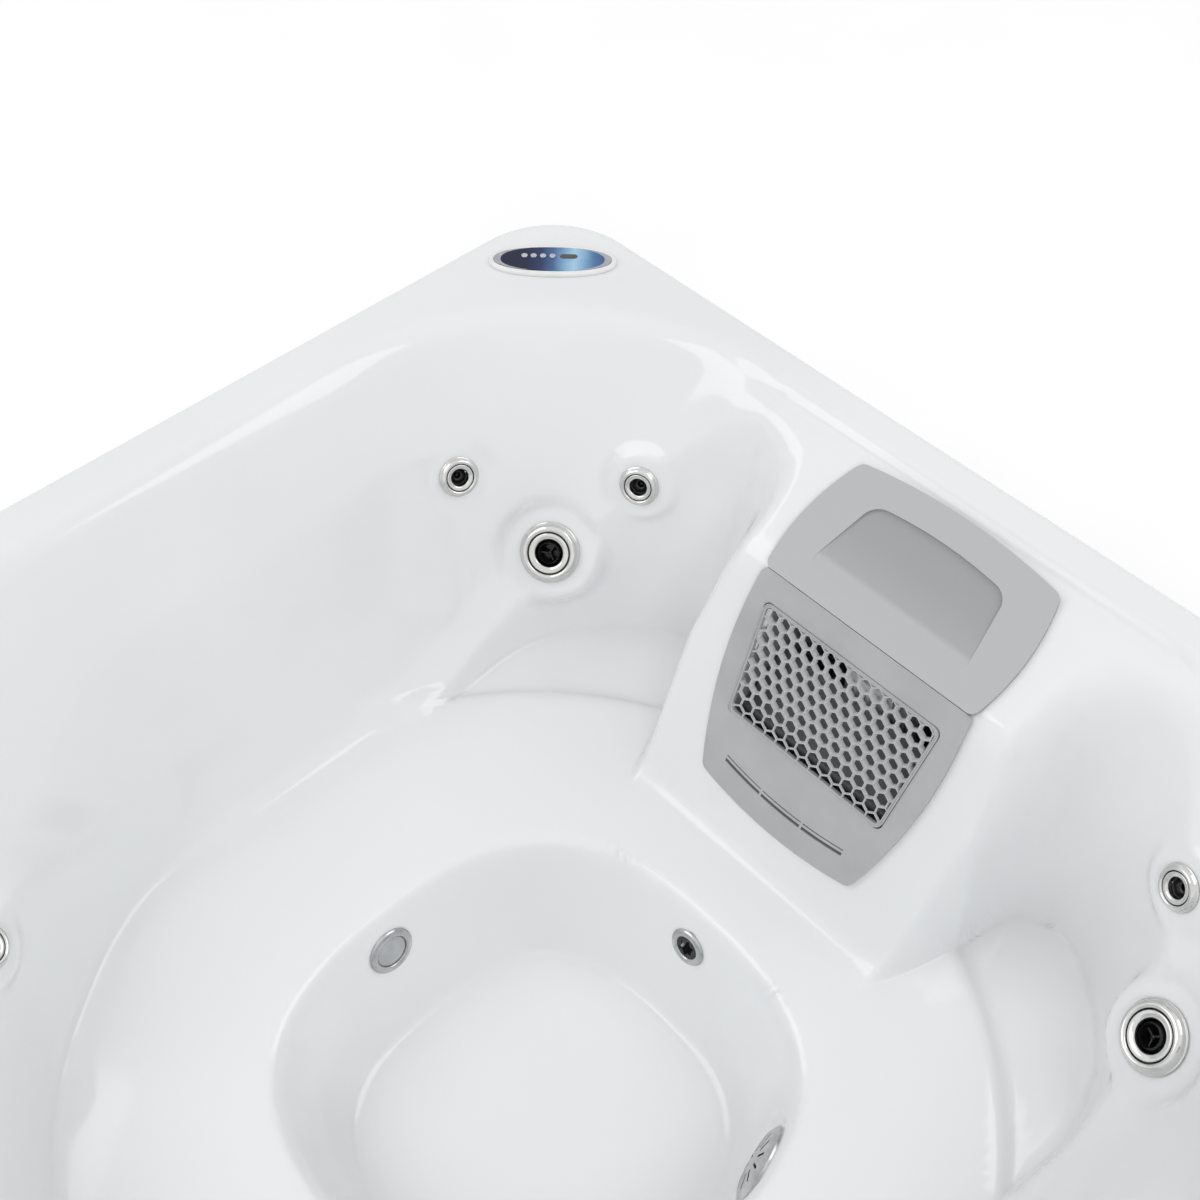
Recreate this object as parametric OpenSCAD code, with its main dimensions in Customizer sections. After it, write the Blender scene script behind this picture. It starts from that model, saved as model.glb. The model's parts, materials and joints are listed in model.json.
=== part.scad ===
/* [Tub] */
// Side of the square rim
tub_w = 1520; // [1460:10:1600]
// Height of the rim above the ground
tub_h = 740; // [720:10:820]
// Thickness of the acrylic shell
shell_t = 6; // [4:0.5:8]
// Radius of the rim's outer corners, seen from above
corner_r = 125; // [90:5:170]
// Radius of the rim's rounded outer edge
edge_r = 12; // [8:1:16]
// Height of the skirt that hangs from the rim's outer edge
skirt_h = 46; // [36:1:60]
// Flat width of the rim on the left, right and back
rim_side = 70; // [60:1:90]
// Flat width of the rim behind the filter tower
rim_front = 60; // [50:1:75]
// Radius of the raised corner pads, measured from the rim's sharp corner
pad_r = 190; // [170:5:210]
// Drop from the rim to the corner pads
pad_drop = 2; // [1:0.5:4]

/* [Basin] */
// Corner radius of the basin's upper lip, seen from above
lip_corner_r = 360; // [320:10:400]
// Drop of the wall per millimetre of run, just inside the lip
lip_fall = 1.3; // [1.2:0.05:1.5]
// How much steeper the wall gets per millimetre of run
wall_bend = 0.0038; // [0.003:0.0002:0.0046]
// Depth of the seats below the rim
seat_depth = 396; // [380:2:420]
// Extra depth of the corner seats' buckets
bucket_drop = 12; // [6:1:18]
// Radius at which the flat seat ring ends and the buckets begin
bucket_r = 524; // [515:1:535]
// Radius at the foot of the reclined back walls
back_foot_r = 515; // [505:1:525]
// Depth below the rim at which the reclined back walls turn flatter
shoulder_depth = 200; // [180:5:220]
// Depth of the footwell floor below the rim
well_depth = 570; // [540:5:580]
// Radius of the footwell's upper edge
well_r = 278; // [265:1:290]
// Lean of the footwell wall from vertical
well_lean = 15; // [12:1:18]

/* [Filter tower] */
// Half width of the tower at the bend of its cover
tower_half = 200; // [195:1:210]
// Tilt of the filter lid from horizontal
lid_tilt = 26; // [24:1:28]
// Tilt of the filter front plate from horizontal
plate_tilt = 65; // [63:1:67]
// Distance from the rim's outer edge to the lid's back edge
lid_back = 87; // [84:1:92]
// Length of the lid down its slope
lid_len = 164; // [156:1:168]
// Length of the front plate down its slope
plate_len = 294; // [280:1:300]
// Thickness of the lid and of the front plate
cover_t = 6; // [5:0.5:7]
// Half width of the covers at the seam between them
seam_half = 150; // [145:1:155]
// Flat to flat size of the honeycomb cells
cell_size = 15.8; // [14:0.2:18]
// Thickness of the honeycomb's walls
cell_wall = 1.6; // [1.2:0.2:2]
// Diameter of the filter cartridge
cartridge_d = 104; // [90:1:108]

/* [Jets] */
// Diameter of a small jet's face
small_d = 53; // [48:1:58]
// Diameter of a large jet's face
large_d = 82; // [76:1:86]
// Depth of the small jets below the rim
small_depth = 168; // [158:2:178]
// Depth of the large jets below the rim
large_depth = 276; // [268:2:286]
// Depth of the back seats' jets below the rim
back_jet_depth = 196; // [186:2:206]
// Half of the angle between the two small jets of a seat
pair_angle = 9.5; // [8.5:0.5:10.5]
// Bearing of the front seats' middle, from the side wall
front_seat_angle = 45.3; // [44:0.1:46.5]
// Bearing of the back seats' middle, from the side wall
back_seat_angle = 51.5; // [50:0.5:53]
// Running clearance of the turning jet parts
jet_gap = 0.3; // [0.3:0.05:0.5]

/* [Control panel] */
// Distance of the panel's centre from both outer edges
panel_in = 98; // [94:1:104]
// Length of the panel's bezel
panel_len = 167; // [150:1:176]
// Width of the panel's bezel
panel_wid = 62; // [58:1:70]
// Height of the bezel above the corner pad
panel_t = 6; // [5:0.5:8]
// Diameter of the push buttons
button_d = 8.4; // [7:0.2:9]
// Travel of the push buttons
button_travel = 0.8; // [0.6:0.1:1]

/* [Cabinet] */
// Gap between the skirt's inner face and the cabinet panels
skirt_gap = 3; // [2:0.5:5]
// Thickness of the cabinet panels
panel_th = 12; // [10:1:15]
// Height of the base pan's wall
pan_h = 32; // [26:1:40]
// Thickness of the base pan
pan_t = 5; // [4:0.5:7]
// Flat length of a corner trim beside its rounded corner
trim_flat = 24; // [15:1:40]
// Height of one plank of the cabinet's profile
plank_h = 106; // [95:1:125]
// Width of the frame's timber
timber = 24; // [20:1:26]

/* [Equipment] */
// Diameter of the pump motor
motor_d = 150; // [130:5:160]
// Outer diameter of the heater tube
heater_d = 60; // [54:1:66]
// Outer diameter of the rigid pipes
pipe_d = 50; // [44:1:54]
// Outer diameter of the jets' water hoses
hose_d = 22; // [18:1:24]
// Diameter of the footwell light's ring
light_d = 62; // [56:1:68]
// Diameter of the footwell return fitting's ring
return_d = 50; // [44:1:54]
// Diameter of the footwell suction covers
suction_d = 96; // [88:2:104]

/* [Hidden] */
$fn = 48;
half = tub_w / 2;
rim_z = tub_h;
lip_x = half - rim_side;
lip_front = half - rim_front;
tower_round = 200;
tower_steep = 5.5;
tower_taper = 0.3;
well_centre = [-8, -20];
lip_soft = 25;
ledge_drop = 10;
ring_start = 120;
ring_steps = [1, 3, 12];
ring_count = 1 + ring_steps[0] + ring_steps[1] + ring_steps[2];
cab = half - shell_t - skirt_gap;
cab_r = corner_r - shell_t - skirt_gap;
post_out = cab - panel_th;
rim_flat = half - post_out + timber;

// Smooth step from 0 to 1 while v goes from lo to hi
function ease(lo, hi, v) =
    let (t = min(1, max(0, (v - lo) / (hi - lo)))) t * t * (3 - 2 * t);
// Smaller and larger of two heights, rounded over a blend of k
function soft_min(a, b, k) =
    let (h = min(1, max(0, 0.5 + 0.5 * (b - a) / k))) b * (1 - h) + a * h - k * h * (1 - h);
function soft_max(a, b, k) = -soft_min(-a, -b, k);
function mix(a, b, t) = a * (1 - t) + b * t;

// Lines of the filter tower's covers, in the plane x = 0, heights from the rim
lid_back_y = -half + lid_back;
lid_back_z = -2;
bend_y = lid_back_y + lid_len * cos(lid_tilt);
bend_z = lid_back_z - lid_len * sin(lid_tilt);

// Distance inside the basin's lip, seen from above
function lip_dist(x, y) =
    let (mid = (lip_x - lip_front) / 2,
         hy = (lip_x + lip_front) / 2,
         qx = abs(x) - lip_x + lip_corner_r,
         qy = abs(y - mid) - hy + lip_corner_r)
    lip_corner_r - norm([max(qx, 0), max(qy, 0)]) - min(max(qx, qy), 0);

// Distance outside the filter tower's side, seen from above
function tower_dist(x, y) =
    y > -200 ? 400 :
    abs(x) - tower_half + tower_taper * max(0, y - bend_y - 49);

function wall_drop(run) = run < 0 ? lip_fall * run : (lip_fall + wall_bend * run) * run;

// Seat pockets: the outer wall, blended into the steep sides of the filter tower
function pocket(x, y) =
    let (outer = lip_dist(x, y),
         side = tower_dist(x, y),
         run = soft_min(outer, side, tower_round),
         steep = 1 + (tower_steep - 1) * ease(-100, 100, outer - side))
    -wall_drop(run * steep);

// Reclined back wall: steep at its foot, flatter above the shoulder
function back_wall(x, y) =
    let (r = norm([x, y]),
         inner = r - back_foot_r - 28,
         steep = -seat_depth + 8 * (r - back_foot_r),
         reclined = -shoulder_depth * lip_dist(x, y) / max(60, lip_dist(x, y) + inner))
    soft_min(steep, reclined, 90);

// Top of the rim, with the corner pads and the sloping top and front of the filter tower
function rim_top(x, y) =
    let (pad = pad_drop * (1 - ease(pad_r - 4, pad_r + 4, norm([half - abs(x), half - abs(y)]))),
         lid_plane = lid_back_z - cover_t / cos(lid_tilt) - tan(lid_tilt) * (y - lid_back_y),
         plate_plane = bend_z - cover_t / cos(plate_tilt) - tan(plate_tilt) * (y - bend_y),
         tower = soft_min(soft_min(-ledge_drop, lid_plane, 8), plate_plane, 26),
         over_tower = 1 - ease(330, 400, abs(x)))
    y < -lip_front - 8 || y > 0 ? -pad :
    mix(-pad, tower, over_tower * ease(-lip_front - 8, -lip_front + 2, y));

// Seat ring, buckets and footwell
function low_part(x, y) =
    let (p = [x, y] - well_centre,
         r = norm(p) / (1 - 0.043 * cos(4 * atan2(p[1], p[0]))),
         cone = -seat_depth + (r - well_r) / tan(well_lean),
         seat = -seat_depth - bucket_drop * ease(bucket_r, bucket_r + 24, norm([x, y])))
    soft_min(seat, soft_max(-well_depth, cone, 90), 40);

// Blend at the foot of the walls: tight at the tower, widest in the front seats
function foot_blend(x, y) =
    let (off = abs(atan2(x, -y)))
    34 + 56 * ease(22, 34, off) + 110 * ease(28, 42, off) * (1 - ease(50, 75, off));

// Height of the acrylic's upper face, from the rim plane
function surf(x, y) =
    let (side = atan2(y, abs(x)),
         wall = side <= 3 ? pocket(x, y) :
                side >= 38 ? back_wall(x, y) :
                mix(pocket(x, y), back_wall(x, y), ease(3, 38, side)))
    soft_max(low_part(x, y), soft_min(wall, rim_top(x, y), lip_soft), foot_blend(x, y));

function surf_normal(x, y) =
    let (e = 0.5,
         gx = (surf(x + e, y) - surf(x - e, y)) / (2 * e),
         gy = (surf(x, y + e) - surf(x, y - e)) / (2 * e))
    [-gx, -gy, 1] / norm([gx, gy, 1]);

// Distance from the middle to a rounded square of half side h and corner radius r
function outline(angle, h, r) =
    let (c = abs(cos(angle)),
         s = abs(sin(angle)),
         big = max(c, s),
         small = min(c, s),
         k = h - r)
    h * small / big <= k ? h / big :
    k * (c + s) + sqrt(max(0, k * k * (c + s) * (c + s) - 2 * k * k + r * r));

// Bearings of the spokes: first and last angle from the tower's middle, and how many
arc_at = atan((half - corner_r) / half);
spoke_groups = [[0, 18, 4], [18, 31, 11], [31, arc_at, 2], [arc_at, 90 - arc_at, 6],
    [90 - arc_at, 79, 6], [79, 90 + arc_at, 8], [90 + arc_at, 180 - arc_at, 5],
    [180 - arc_at, 180, 5]];
half_spokes = [for (g = spoke_groups) for (i = [0:g[2] - 1]) g[0] + (g[1] - g[0]) * i / g[2]];
spokes = concat([for (a = half_spokes) a - 90], [90],
    [for (i = [len(half_spokes) - 1:-1:1]) -90 - half_spokes[i]]);

function running_sum(steps) =
    [for (i = 0, s = 0; i <= len(steps); s = s + (i < len(steps) ? steps[i] : 0), i = i + 1) s];

// Distances along one spoke of its rings, which follow the footwell's lower and upper edge and
// lie evenly between and outside them
function ring_radii(angle) =
    let (c = cos(angle),
         s = sin(angle),
         end = outline(angle, half - rim_flat, corner_r - rim_flat),
         fine = 110,
         rs = [for (i = [0:fine]) ring_start + (end - ring_start) * i / fine],
         zs = [for (r = rs) surf(r * c, r * s)],
         way = running_sum([for (i = [1:fine]) norm([rs[i] - rs[i - 1], zs[i] - zs[i - 1]])]),
         way_at = [for (i = [0:fine]) [rs[i], way[i]]],
         table = [for (i = [0:fine]) [way[i], rs[i]]],
         marks = concat([0],
            [for (z = [well_depth - 8, seat_depth + 18])
                lookup(reach_at(angle, z, ring_start, end, 20), way_at)],
            [way[fine]]))
    concat([for (i = [0:2]) for (k = [0:ring_steps[i] - 1])
            lookup(mix(marks[i], marks[i + 1], k / ring_steps[i]), table)],
        [end, outline(angle, half - edge_r, corner_r - edge_r)]);

// Evens out the rings from spoke to spoke, times over
function smoothed(rows, times) =
    let (n = len(rows))
    times == 0 ? rows :
    smoothed([for (i = [0:n - 1])
        concat([for (j = [0:ring_count - 2])
            (rows[(i + n - 1) % n][j] + 2 * rows[i][j] + rows[(i + 1) % n][j]) / 4],
            [rows[i][ring_count - 1], rows[i][ring_count]])], times - 1);

// Rounded outer edge, skirt and the skirt's inner face, as distance and height
function edge_ring(angle) =
    let (c = cos(angle), s = sin(angle))
    concat(
        [for (a = [45, 90])
            let (inset = edge_r * (1 - sin(a)), r = outline(angle, half - inset, corner_r - inset))
            [r * c, r * s, -edge_r * (1 - cos(a))]],
        [for (p = [[0, -skirt_h], [shell_t, -skirt_h], [shell_t, -edge_r]])
            let (r = outline(angle, half - p[0], corner_r - p[0]))
            [r * c, r * s, p[1]]]);

// Whole shell as one closed grid: upper face, edge, skirt and underside
module shell_skin() {
    rings = ring_count + 1;
    edge = 5;
    loop = 2 * rings + edge;
    count = len(spokes);
    reach = smoothed([for (a = spokes) ring_radii(a)], 3);
    rows = [for (i = [0:count - 1])
        let (a = spokes[i],
             top = [for (r = reach[i]) [r * cos(a), r * sin(a), surf(r * cos(a), r * sin(a))]])
        concat(top, edge_ring(a),
            [for (j = [ring_count:-1:0]) top[j] - shell_t * surf_normal(top[j][0], top[j][1])])];
    points = [for (row = rows) for (p = row) p];
    sides = [for (i = [0:count - 1]) for (j = [0:loop - 2])
        let (a = i * loop + j, b = (i + 1) % count * loop + j)
        for (tri = j < rings ? [[a, b + 1, a + 1], [a, b, b + 1]] :
                [[a, b, a + 1], [b, b + 1, a + 1]]) tri];
    floor_top = [for (i = [count - 1:-1:0]) i * loop];
    floor_under = [for (i = [0:count - 1]) i * loop + loop - 1];
    translate([0, 0, rim_z])
        polyhedron(points = points, faces = concat(sides, [floor_top, floor_under]));
}

// Where a spoke's upper face lies at a given depth, found by halving
function reach_at(angle, depth, lo, hi, turns) =
    let (r = (lo + hi) / 2)
    turns == 0 ? r :
    surf(r * cos(angle), r * sin(angle)) < -depth ?
        reach_at(angle, depth, r, hi, turns - 1) : reach_at(angle, depth, lo, r, turns - 1);

// Seat of a fitting in the wall: its point, the wall's normal there, the fitting's diameter
// and the radius of the flat round place under it
function seat_at(angle, depth, d, flat) =
    let (r = reach_at(angle, depth, 180, half - 20, 24), x = r * cos(angle), y = r * sin(angle))
    [[x, y, surf(x, y)], surf_normal(x, y), d, flat * d];

jet_flat = 0.8;
well_flat = 0.54;
front_seats = [-front_seat_angle, front_seat_angle - 180];
back_seats = [back_seat_angle, 180 - back_seat_angle];
small_seats = concat(
    [for (a = front_seats) for (k = [1, -1])
        seat_at(a + k * pair_angle, small_depth, small_d, jet_flat)],
    [for (a = back_seats) for (k = [1, -1])
        seat_at(a + k * pair_angle, back_jet_depth, small_d, jet_flat)]);
large_seats = [for (a = front_seats) seat_at(a, large_depth, large_d, jet_flat)];
light_seat = seat_at(-0.8, seat_depth + 56, light_d, well_flat);
return_seat = seat_at(-90, seat_depth + 59, return_d, well_flat);
suction_seats = [for (a = [150, 210]) seat_at(a, seat_depth + 66, suction_d, well_flat)];
all_seats = concat(small_seats, large_seats, [light_seat, return_seat], suction_seats);

// Shape of a wall fitting, from the diameter of its face
flange_h = 2;
function hole_r(d) = 0.34 * d;
function barrel_r(d) = hole_r(d) - jet_gap;
function bore_r(d) = barrel_r(d) - 3;
function nut_r(d) = 1.3 * barrel_r(d);
back_t = shell_t + 3;
function tail_z(d) = -0.62 * d - 14;
nut_h = 9;
barb_len = 22;
ball_r = 0.2 * large_d;
face_z = flange_h + jet_gap;

module at_seat(seat) {
    translate(seat[0] + [0, 0, rim_z])
        rotate([0, acos(seat[1][2]), atan2(seat[1][1], seat[1][0])])
            children();
}

module acrylic_shell() {
    color("white")
        difference() {
            union() {
                shell_skin();
                for (seat = all_seats)
                    at_seat(seat) flat_backing(seat[3]);
            }
            for (seat = all_seats)
                at_seat(seat) {
                    cylinder(r = seat[3], h = 24, $fn = 16);
                    translate([0, 0, -30])
                        cylinder(r = hole_r(seat[2]) + 0.5, h = 50, $fn = 14);
                }
            for (seat = concat(small_seats, large_seats))
                at_seat(seat)
                    translate([0, 0, -40])
                        cylinder(r = nut_r(seat[2]) + 4, h = 40 - back_t, $fn = 8);
            cover_opening();
            cover_seat();
            panel_opening();
        }
}

// Chamfered disc that backs the flat round place under a fitting
module flat_backing(r) {
    hull() {
        translate([0, 0, -back_t])
            cylinder(r1 = r - 2, r2 = r + 2, h = back_t - 3, $fn = 16);
        translate([0, 0, -3])
            cylinder(r = r + 2, h = 2, $fn = 16);
    }
}

// Points in the plane x = 0, from the distance down a cover and the height over its face
function on_lid_at(s, n) =
    [lid_back_y + s * cos(lid_tilt) + n * sin(lid_tilt),
     lid_back_z - s * sin(lid_tilt) + n * cos(lid_tilt)];
function on_plate_at(s, n) =
    [bend_y + s * cos(plate_tilt) + n * sin(plate_tilt),
     bend_z - s * sin(plate_tilt) + n * cos(plate_tilt)];

function at_bend(n) =
    let (mid = (lid_tilt + plate_tilt) / 2, far = n / cos(plate_tilt - mid))
    [bend_y + far * sin(mid), bend_z + far * cos(mid)];

// Extrudes a profile drawn in y and height over the rim, centred on x = 0
module across(width) {
    translate([-width / 2, 0, rim_z])
        rotate([90, 0, 90])
            linear_extrude(width)
                children();
}

// Opening in the filter tower behind the covers
open_half = 124;
open_back = 18;
open_foot = 226;
module cover_opening() {
    across(2 * open_half)
        polygon([on_lid_at(open_back, 6), on_lid_at(lid_len, 6), on_plate_at(0, 6),
            on_plate_at(open_foot, 6), on_plate_at(open_foot, -34), on_plate_at(40, -34),
            on_lid_at(open_back, -34)]);
}

// Lid and front plate of the filter tower, drawn from their upper edge down
lid_back_half = 140;
mitre = (plate_tilt - lid_tilt) / 2;
seam_gap = 0.4;
plate_foot_half = 118;
plate_bow = 14;
function lid_half(u) = seam_half + (1 - u) * (lid_back_half - seam_half + 48 * u);
function plate_half(v) =
    seam_half + v * (34 + (plate_foot_half - seam_half - 34) * v);

module on_lid() {
    translate([0, lid_back_y, rim_z + lid_back_z])
        rotate([-lid_tilt, 0, 0])
            children();
}

module on_plate() {
    translate([0, bend_y, rim_z + bend_z])
        rotate([-plate_tilt, 0, 0])
            children();
}

// Rounds the outer corners of a flat shape
module rounded(r, smooth = 40) {
    offset(r = r, $fn = smooth)
        offset(delta = -r)
            children();
}

module lid_outline(step = 0.1, smooth = 40) {
    rounded(12, smooth)
        polygon(concat(
            [for (u = [0:step:1]) [lid_half(u), u * lid_len]],
            [for (u = [1:-step:0]) [-lid_half(u), u * lid_len]],
            [for (x = [-0.8:0.2:0.8]) [x * lid_back_half, -13 * (1 - x * x)]]));
}

module plate_outline(step = 0.1, smooth = 40) {
    rounded(12, smooth)
        polygon(concat(
            [for (v = [0:step:1]) [plate_half(v), v * (plate_len - plate_bow)]],
            [for (x = [0.8:-0.2:-0.8])
                [x * plate_foot_half, plate_len - plate_bow * x * x]],
            [for (v = [1:-step:0]) [-plate_half(v), v * (plate_len - plate_bow)]]));
}

// Finger recess of the lid: deepest at its back, flush at its foot
recess_top = 25;
recess_foot = 133;
recess_deep = 4.2;
recess_half = 94;
recess_foot_half = 114;
recess_bow = 8;
module finger_recess() {
    translate([0, recess_foot, 0])
        rotate([asin(recess_deep / (recess_foot - recess_top)), 0, 0])
            translate([0, -recess_foot, 0])
                linear_extrude(10)
                    rounded(24)
                        polygon(concat(
                            [for (x = [-1:0.25:1])
                                [x * recess_half, recess_top + recess_bow * x * x]],
                            [[recess_foot_half, recess_foot + 10],
                             [-recess_foot_half, recess_foot + 10]]));
}

module filter_lid() {
    color("silver")
        on_lid()
            difference() {
                translate([0, 0, jet_gap - cover_t])
                    linear_extrude(cover_t - jet_gap)
                        lid_outline();
                finger_recess();
                translate([-200, lid_len - seam_gap, 0])
                    rotate([-mitre, 0, 0])
                        translate([0, 0, -30])
                            cube([400, 60, 60]);
            }
}

// Window of the front plate and the grille that fills it
grille_top = 36;
grille_foot = 191;
grille_half_top = 130;
grille_half_foot = 119;
grille_rim = 6;
grille_proud = 1.5;
module grille_outline(grow) {
    offset(delta = grow)
        rounded(9)
            polygon([[-grille_half_top, grille_top], [grille_half_top, grille_top],
                [grille_half_foot, grille_foot], [-grille_half_foot, grille_foot]]);
}

// Two slots that follow the plate's bowed foot, a narrow one over a wide one, in three stretches
slot_half = 94;
slot_bridge = 32;
bridge_w = 3;
slots = [[plate_len - 43, 1.6], [plate_len - 38, 4.4]];
function slot_edge(x, s) = s - plate_bow * pow(x / plate_foot_half, 2);
module slot_stretch(from, to, s, w) {
    xs = [for (i = [0:6]) mix(from, to, i / 6)];
    polygon(concat([for (x = xs) [x, slot_edge(x, s)]],
        [for (i = [6:-1:0]) [xs[i], slot_edge(xs[i], s) + w]]));
}

module plate_slots() {
    ends = [-slot_half, -slot_bridge, slot_bridge, slot_half];
    for (slot = slots, i = [0:2])
        slot_stretch(ends[i] + bridge_w / 2, ends[i + 1] - bridge_w / 2, slot[0], slot[1]);
}

module filter_plate() {
    color("silver")
        on_plate()
            difference() {
                translate([0, 0, -cover_t])
                    linear_extrude(cover_t)
                        difference() {
                            plate_outline();
                            grille_outline(jet_gap);
                            plate_slots();
                        }
                translate([-200, seam_gap, 0])
                    rotate([mitre, 0, 0])
                        translate([0, -60, -30])
                            cube([400, 60, 60]);
            }
}

pitch = cell_size + cell_wall;
cell_rows = floor((grille_foot - grille_top - 2 * grille_rim) / (pitch * sqrt(3) / 2));
module honeycomb_grille() {
    color("silver")
        on_plate()
            translate([0, 0, -cover_t])
                linear_extrude(cover_t + grille_proud)
                    difference() {
                        grille_outline(0);
                        for (j = [0:cell_rows - 1])
                            cell_row(j);
                    }
}

module cell_row(j) {
    y = grille_top + grille_rim + cell_size / 2 + j * pitch * sqrt(3) / 2;
    edge = mix(grille_half_top, grille_half_foot,
        (y - grille_top) / (grille_foot - grille_top)) - grille_rim - cell_size / 2;
    n = ceil(2 * grille_half_top / pitch);
    for (i = [-n:n]) {
        x = (i + (j % 2) / 2) * pitch;
        if (abs(x) < edge)
            translate([x, y])
                rotate(30)
                    circle(d = cell_size / cos(30), $fn = 6);
    }
}

// Flat bed that the covers lie on, a little larger than they are
module cover_seat() {
    on_lid()
        translate([0, 0, -cover_t])
            linear_extrude(20)
                offset(delta = 1.4)
                    lid_outline(0.25, 16);
    on_plate()
        translate([0, 0, -cover_t])
            linear_extrude(20)
                offset(delta = 1.4)
                    plate_outline(0.25, 16);
}

// Housing behind the covers, a tall box that holds the weir flap and the filter cartridge
house_half = open_half - 0.5;
house_wall = 4;
house_floor = seat_depth - 2;
house_back = on_lid_at(open_back + 1, 0)[0];
house_front = on_plate_at(open_foot, 0)[0] - 14;
axis_y = house_back + house_wall + cartridge_d / 2 + 2;
outlet_r = 18;
spout = 24;
module filter_housing() {
    top = -cover_t - 0.5;
    w = house_wall;
    color("dimgray") {
        difference() {
            across(2 * house_half)
                polygon([on_lid_at(open_back + 1, top), at_bend(top),
                    on_plate_at(open_foot - 1, top), on_plate_at(open_foot - 1, top - shell_t - 1),
                    [house_front, -house_floor], [house_back, -house_floor]]);
            across(2 * (house_half - w))
                polygon([[house_back + w, lid_back_z], at_bend(20),
                    on_plate_at(open_foot - 1 - w, 20),
                    on_plate_at(open_foot - 1 - w, top - shell_t - 2),
                    [house_front - w, -house_floor + w], [house_back + w, -house_floor + w]]);
            translate([0, axis_y, rim_z - house_floor - 1])
                cylinder(r = outlet_r - 3, h = w + 2);
        }
        translate([0, axis_y, rim_z - house_floor - spout])
            difference() {
                cylinder(r = outlet_r, h = spout + 0.5);
                translate([0, 0, -1])
                    cylinder(r = outlet_r - 3, h = spout + 3);
            }
    }
}

// Weir flap, hinged on a pin between the housing's walls
weir_at = on_plate_at(188, -30);
weir_lean = 50;
weir_len = 86;
pin_r = 3;
flap_half = house_half - house_wall - 4;
module at_weir() {
    translate([0, weir_at[0], rim_z + weir_at[1]])
        rotate([0, 90, 0])
            children();
}

module weir_pin() {
    color("silver")
        at_weir()
            translate([0, 0, -house_half + house_wall])
                cylinder(r = pin_r, h = 2 * (house_half - house_wall));
}

module weir_flap() {
    color("dimgray")
        translate([0, weir_at[0], rim_z + weir_at[1]])
            rotate([weir_lean, 0, 0])
                difference() {
                    union() {
                        translate([-flap_half, -2, 0])
                            cube([2 * flap_half, 4, weir_len]);
                        rotate([0, 90, 0])
                            translate([0, 0, -flap_half])
                                cylinder(r = pin_r + 3, h = 2 * flap_half);
                    }
                    rotate([0, 90, 0])
                        translate([0, 0, -flap_half - 1])
                            cylinder(r = pin_r + 0.06, h = 2 * flap_half + 2);
                }
}

// Filter cartridge: end caps, pleated body and a grip ring on top
cartridge_h = 216;
pleats = 30;
cap_h = 10;
module filter_cartridge() {
    r = cartridge_d / 2;
    bottom = rim_z - house_floor + house_wall + jet_gap;
    translate([0, axis_y, bottom]) {
        color("whitesmoke")
            translate([0, 0, cap_h])
                linear_extrude(cartridge_h - 2 * cap_h)
                    polygon([for (i = [0:2 * pleats - 1])
                        let (q = i % 2 == 0 ? r - 1 : r - 9, a = 180 * i / pleats)
                        [q * cos(a), q * sin(a)]]);
        color("navy") {
            cylinder(r = r, h = cap_h);
            translate([0, 0, cartridge_h - cap_h])
                cylinder(r = r, h = cap_h);
            translate([-24, -3, cartridge_h])
                difference() {
                    cube([48, 6, 20]);
                    translate([6, -1, 0])
                        cube([36, 8, 13]);
                }
        }
    }
}

// Wall fitting of a jet: flange, threaded barrel, nut, closed tail with a hose barb
module jet_fitting(d) {
    tail = tail_z(d);
    rotate_extrude()
        polygon([[bore_r(d), flange_h], [0.42 * d, flange_h], [0.42 * d, 0], [barrel_r(d), 0],
            [barrel_r(d), -back_t], [nut_r(d), -back_t],
            [nut_r(d), -back_t - nut_h], [barrel_r(d), -back_t - nut_h],
            [barrel_r(d), tail], [hose_d / 2 - 2, tail], [hose_d / 2 - 2, tail - barb_len],
            [4, tail - barb_len], [4, tail + 6], [bore_r(d), tail + 6]]);
}

module jet_fittings() {
    color("dimgray")
        for (seat = concat(small_seats, large_seats))
            at_seat(seat) jet_fitting(seat[2]);
}

// Domed ring on a stem, throat in the middle
module jet_face(d, throat, stem) {
    edge = d / 2;
    rise = 0.14 * d;
    middle = (edge + throat) / 2;
    span = (edge - throat) / 2;
    color("silver")
        rotate_extrude()
            polygon(concat(
                [[throat, -stem], [bore_r(d) - jet_gap, -stem], [bore_r(d) - jet_gap, face_z],
                 [0.42 * d + jet_gap, face_z], [0.42 * d + jet_gap, 0.8], [edge, 0.8]],
                [for (a = [15:15:165])
                    [middle + span * cos(a), face_z + (rise - face_z + 2) * sin(a)]]));
}

module large_nozzle() {
    color("black")
        difference() {
            intersection() {
                sphere(r = ball_r);
                translate([0, 0, -0.6 * ball_r])
                    cylinder(r = ball_r, h = 1.2 * ball_r);
            }
            translate([0, 0, -ball_r])
                cylinder(r = 0.42 * ball_r, h = 2 * ball_r);
        }
}

small_stem = 24;
large_stem = 34;
ball_z = 1;
module jet_face_small(i) {
    at_seat(small_seats[i]) jet_face(small_d, 0.21 * small_d, small_stem);
}

module jet_face_large(i) {
    at_seat(large_seats[i]) jet_face(large_d, ball_r + jet_gap, large_stem);
}

module jet_nozzle_large(i) {
    at_seat(large_seats[i])
        translate([0, 0, ball_z])
            large_nozzle();
}

// Cup behind the wall, closed at its back, with a nut against the wall
module wall_cup(d, deep, wall) {
    rotate_extrude()
        polygon([[barrel_r(d) - wall, 0], [barrel_r(d), 0], [barrel_r(d), -back_t],
            [nut_r(d), -back_t], [nut_r(d), -back_t - nut_h],
            [barrel_r(d), -back_t - nut_h], [barrel_r(d), -deep], [0, -deep],
            [0, wall - deep], [barrel_r(d) - wall, wall - deep]]);
}

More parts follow.
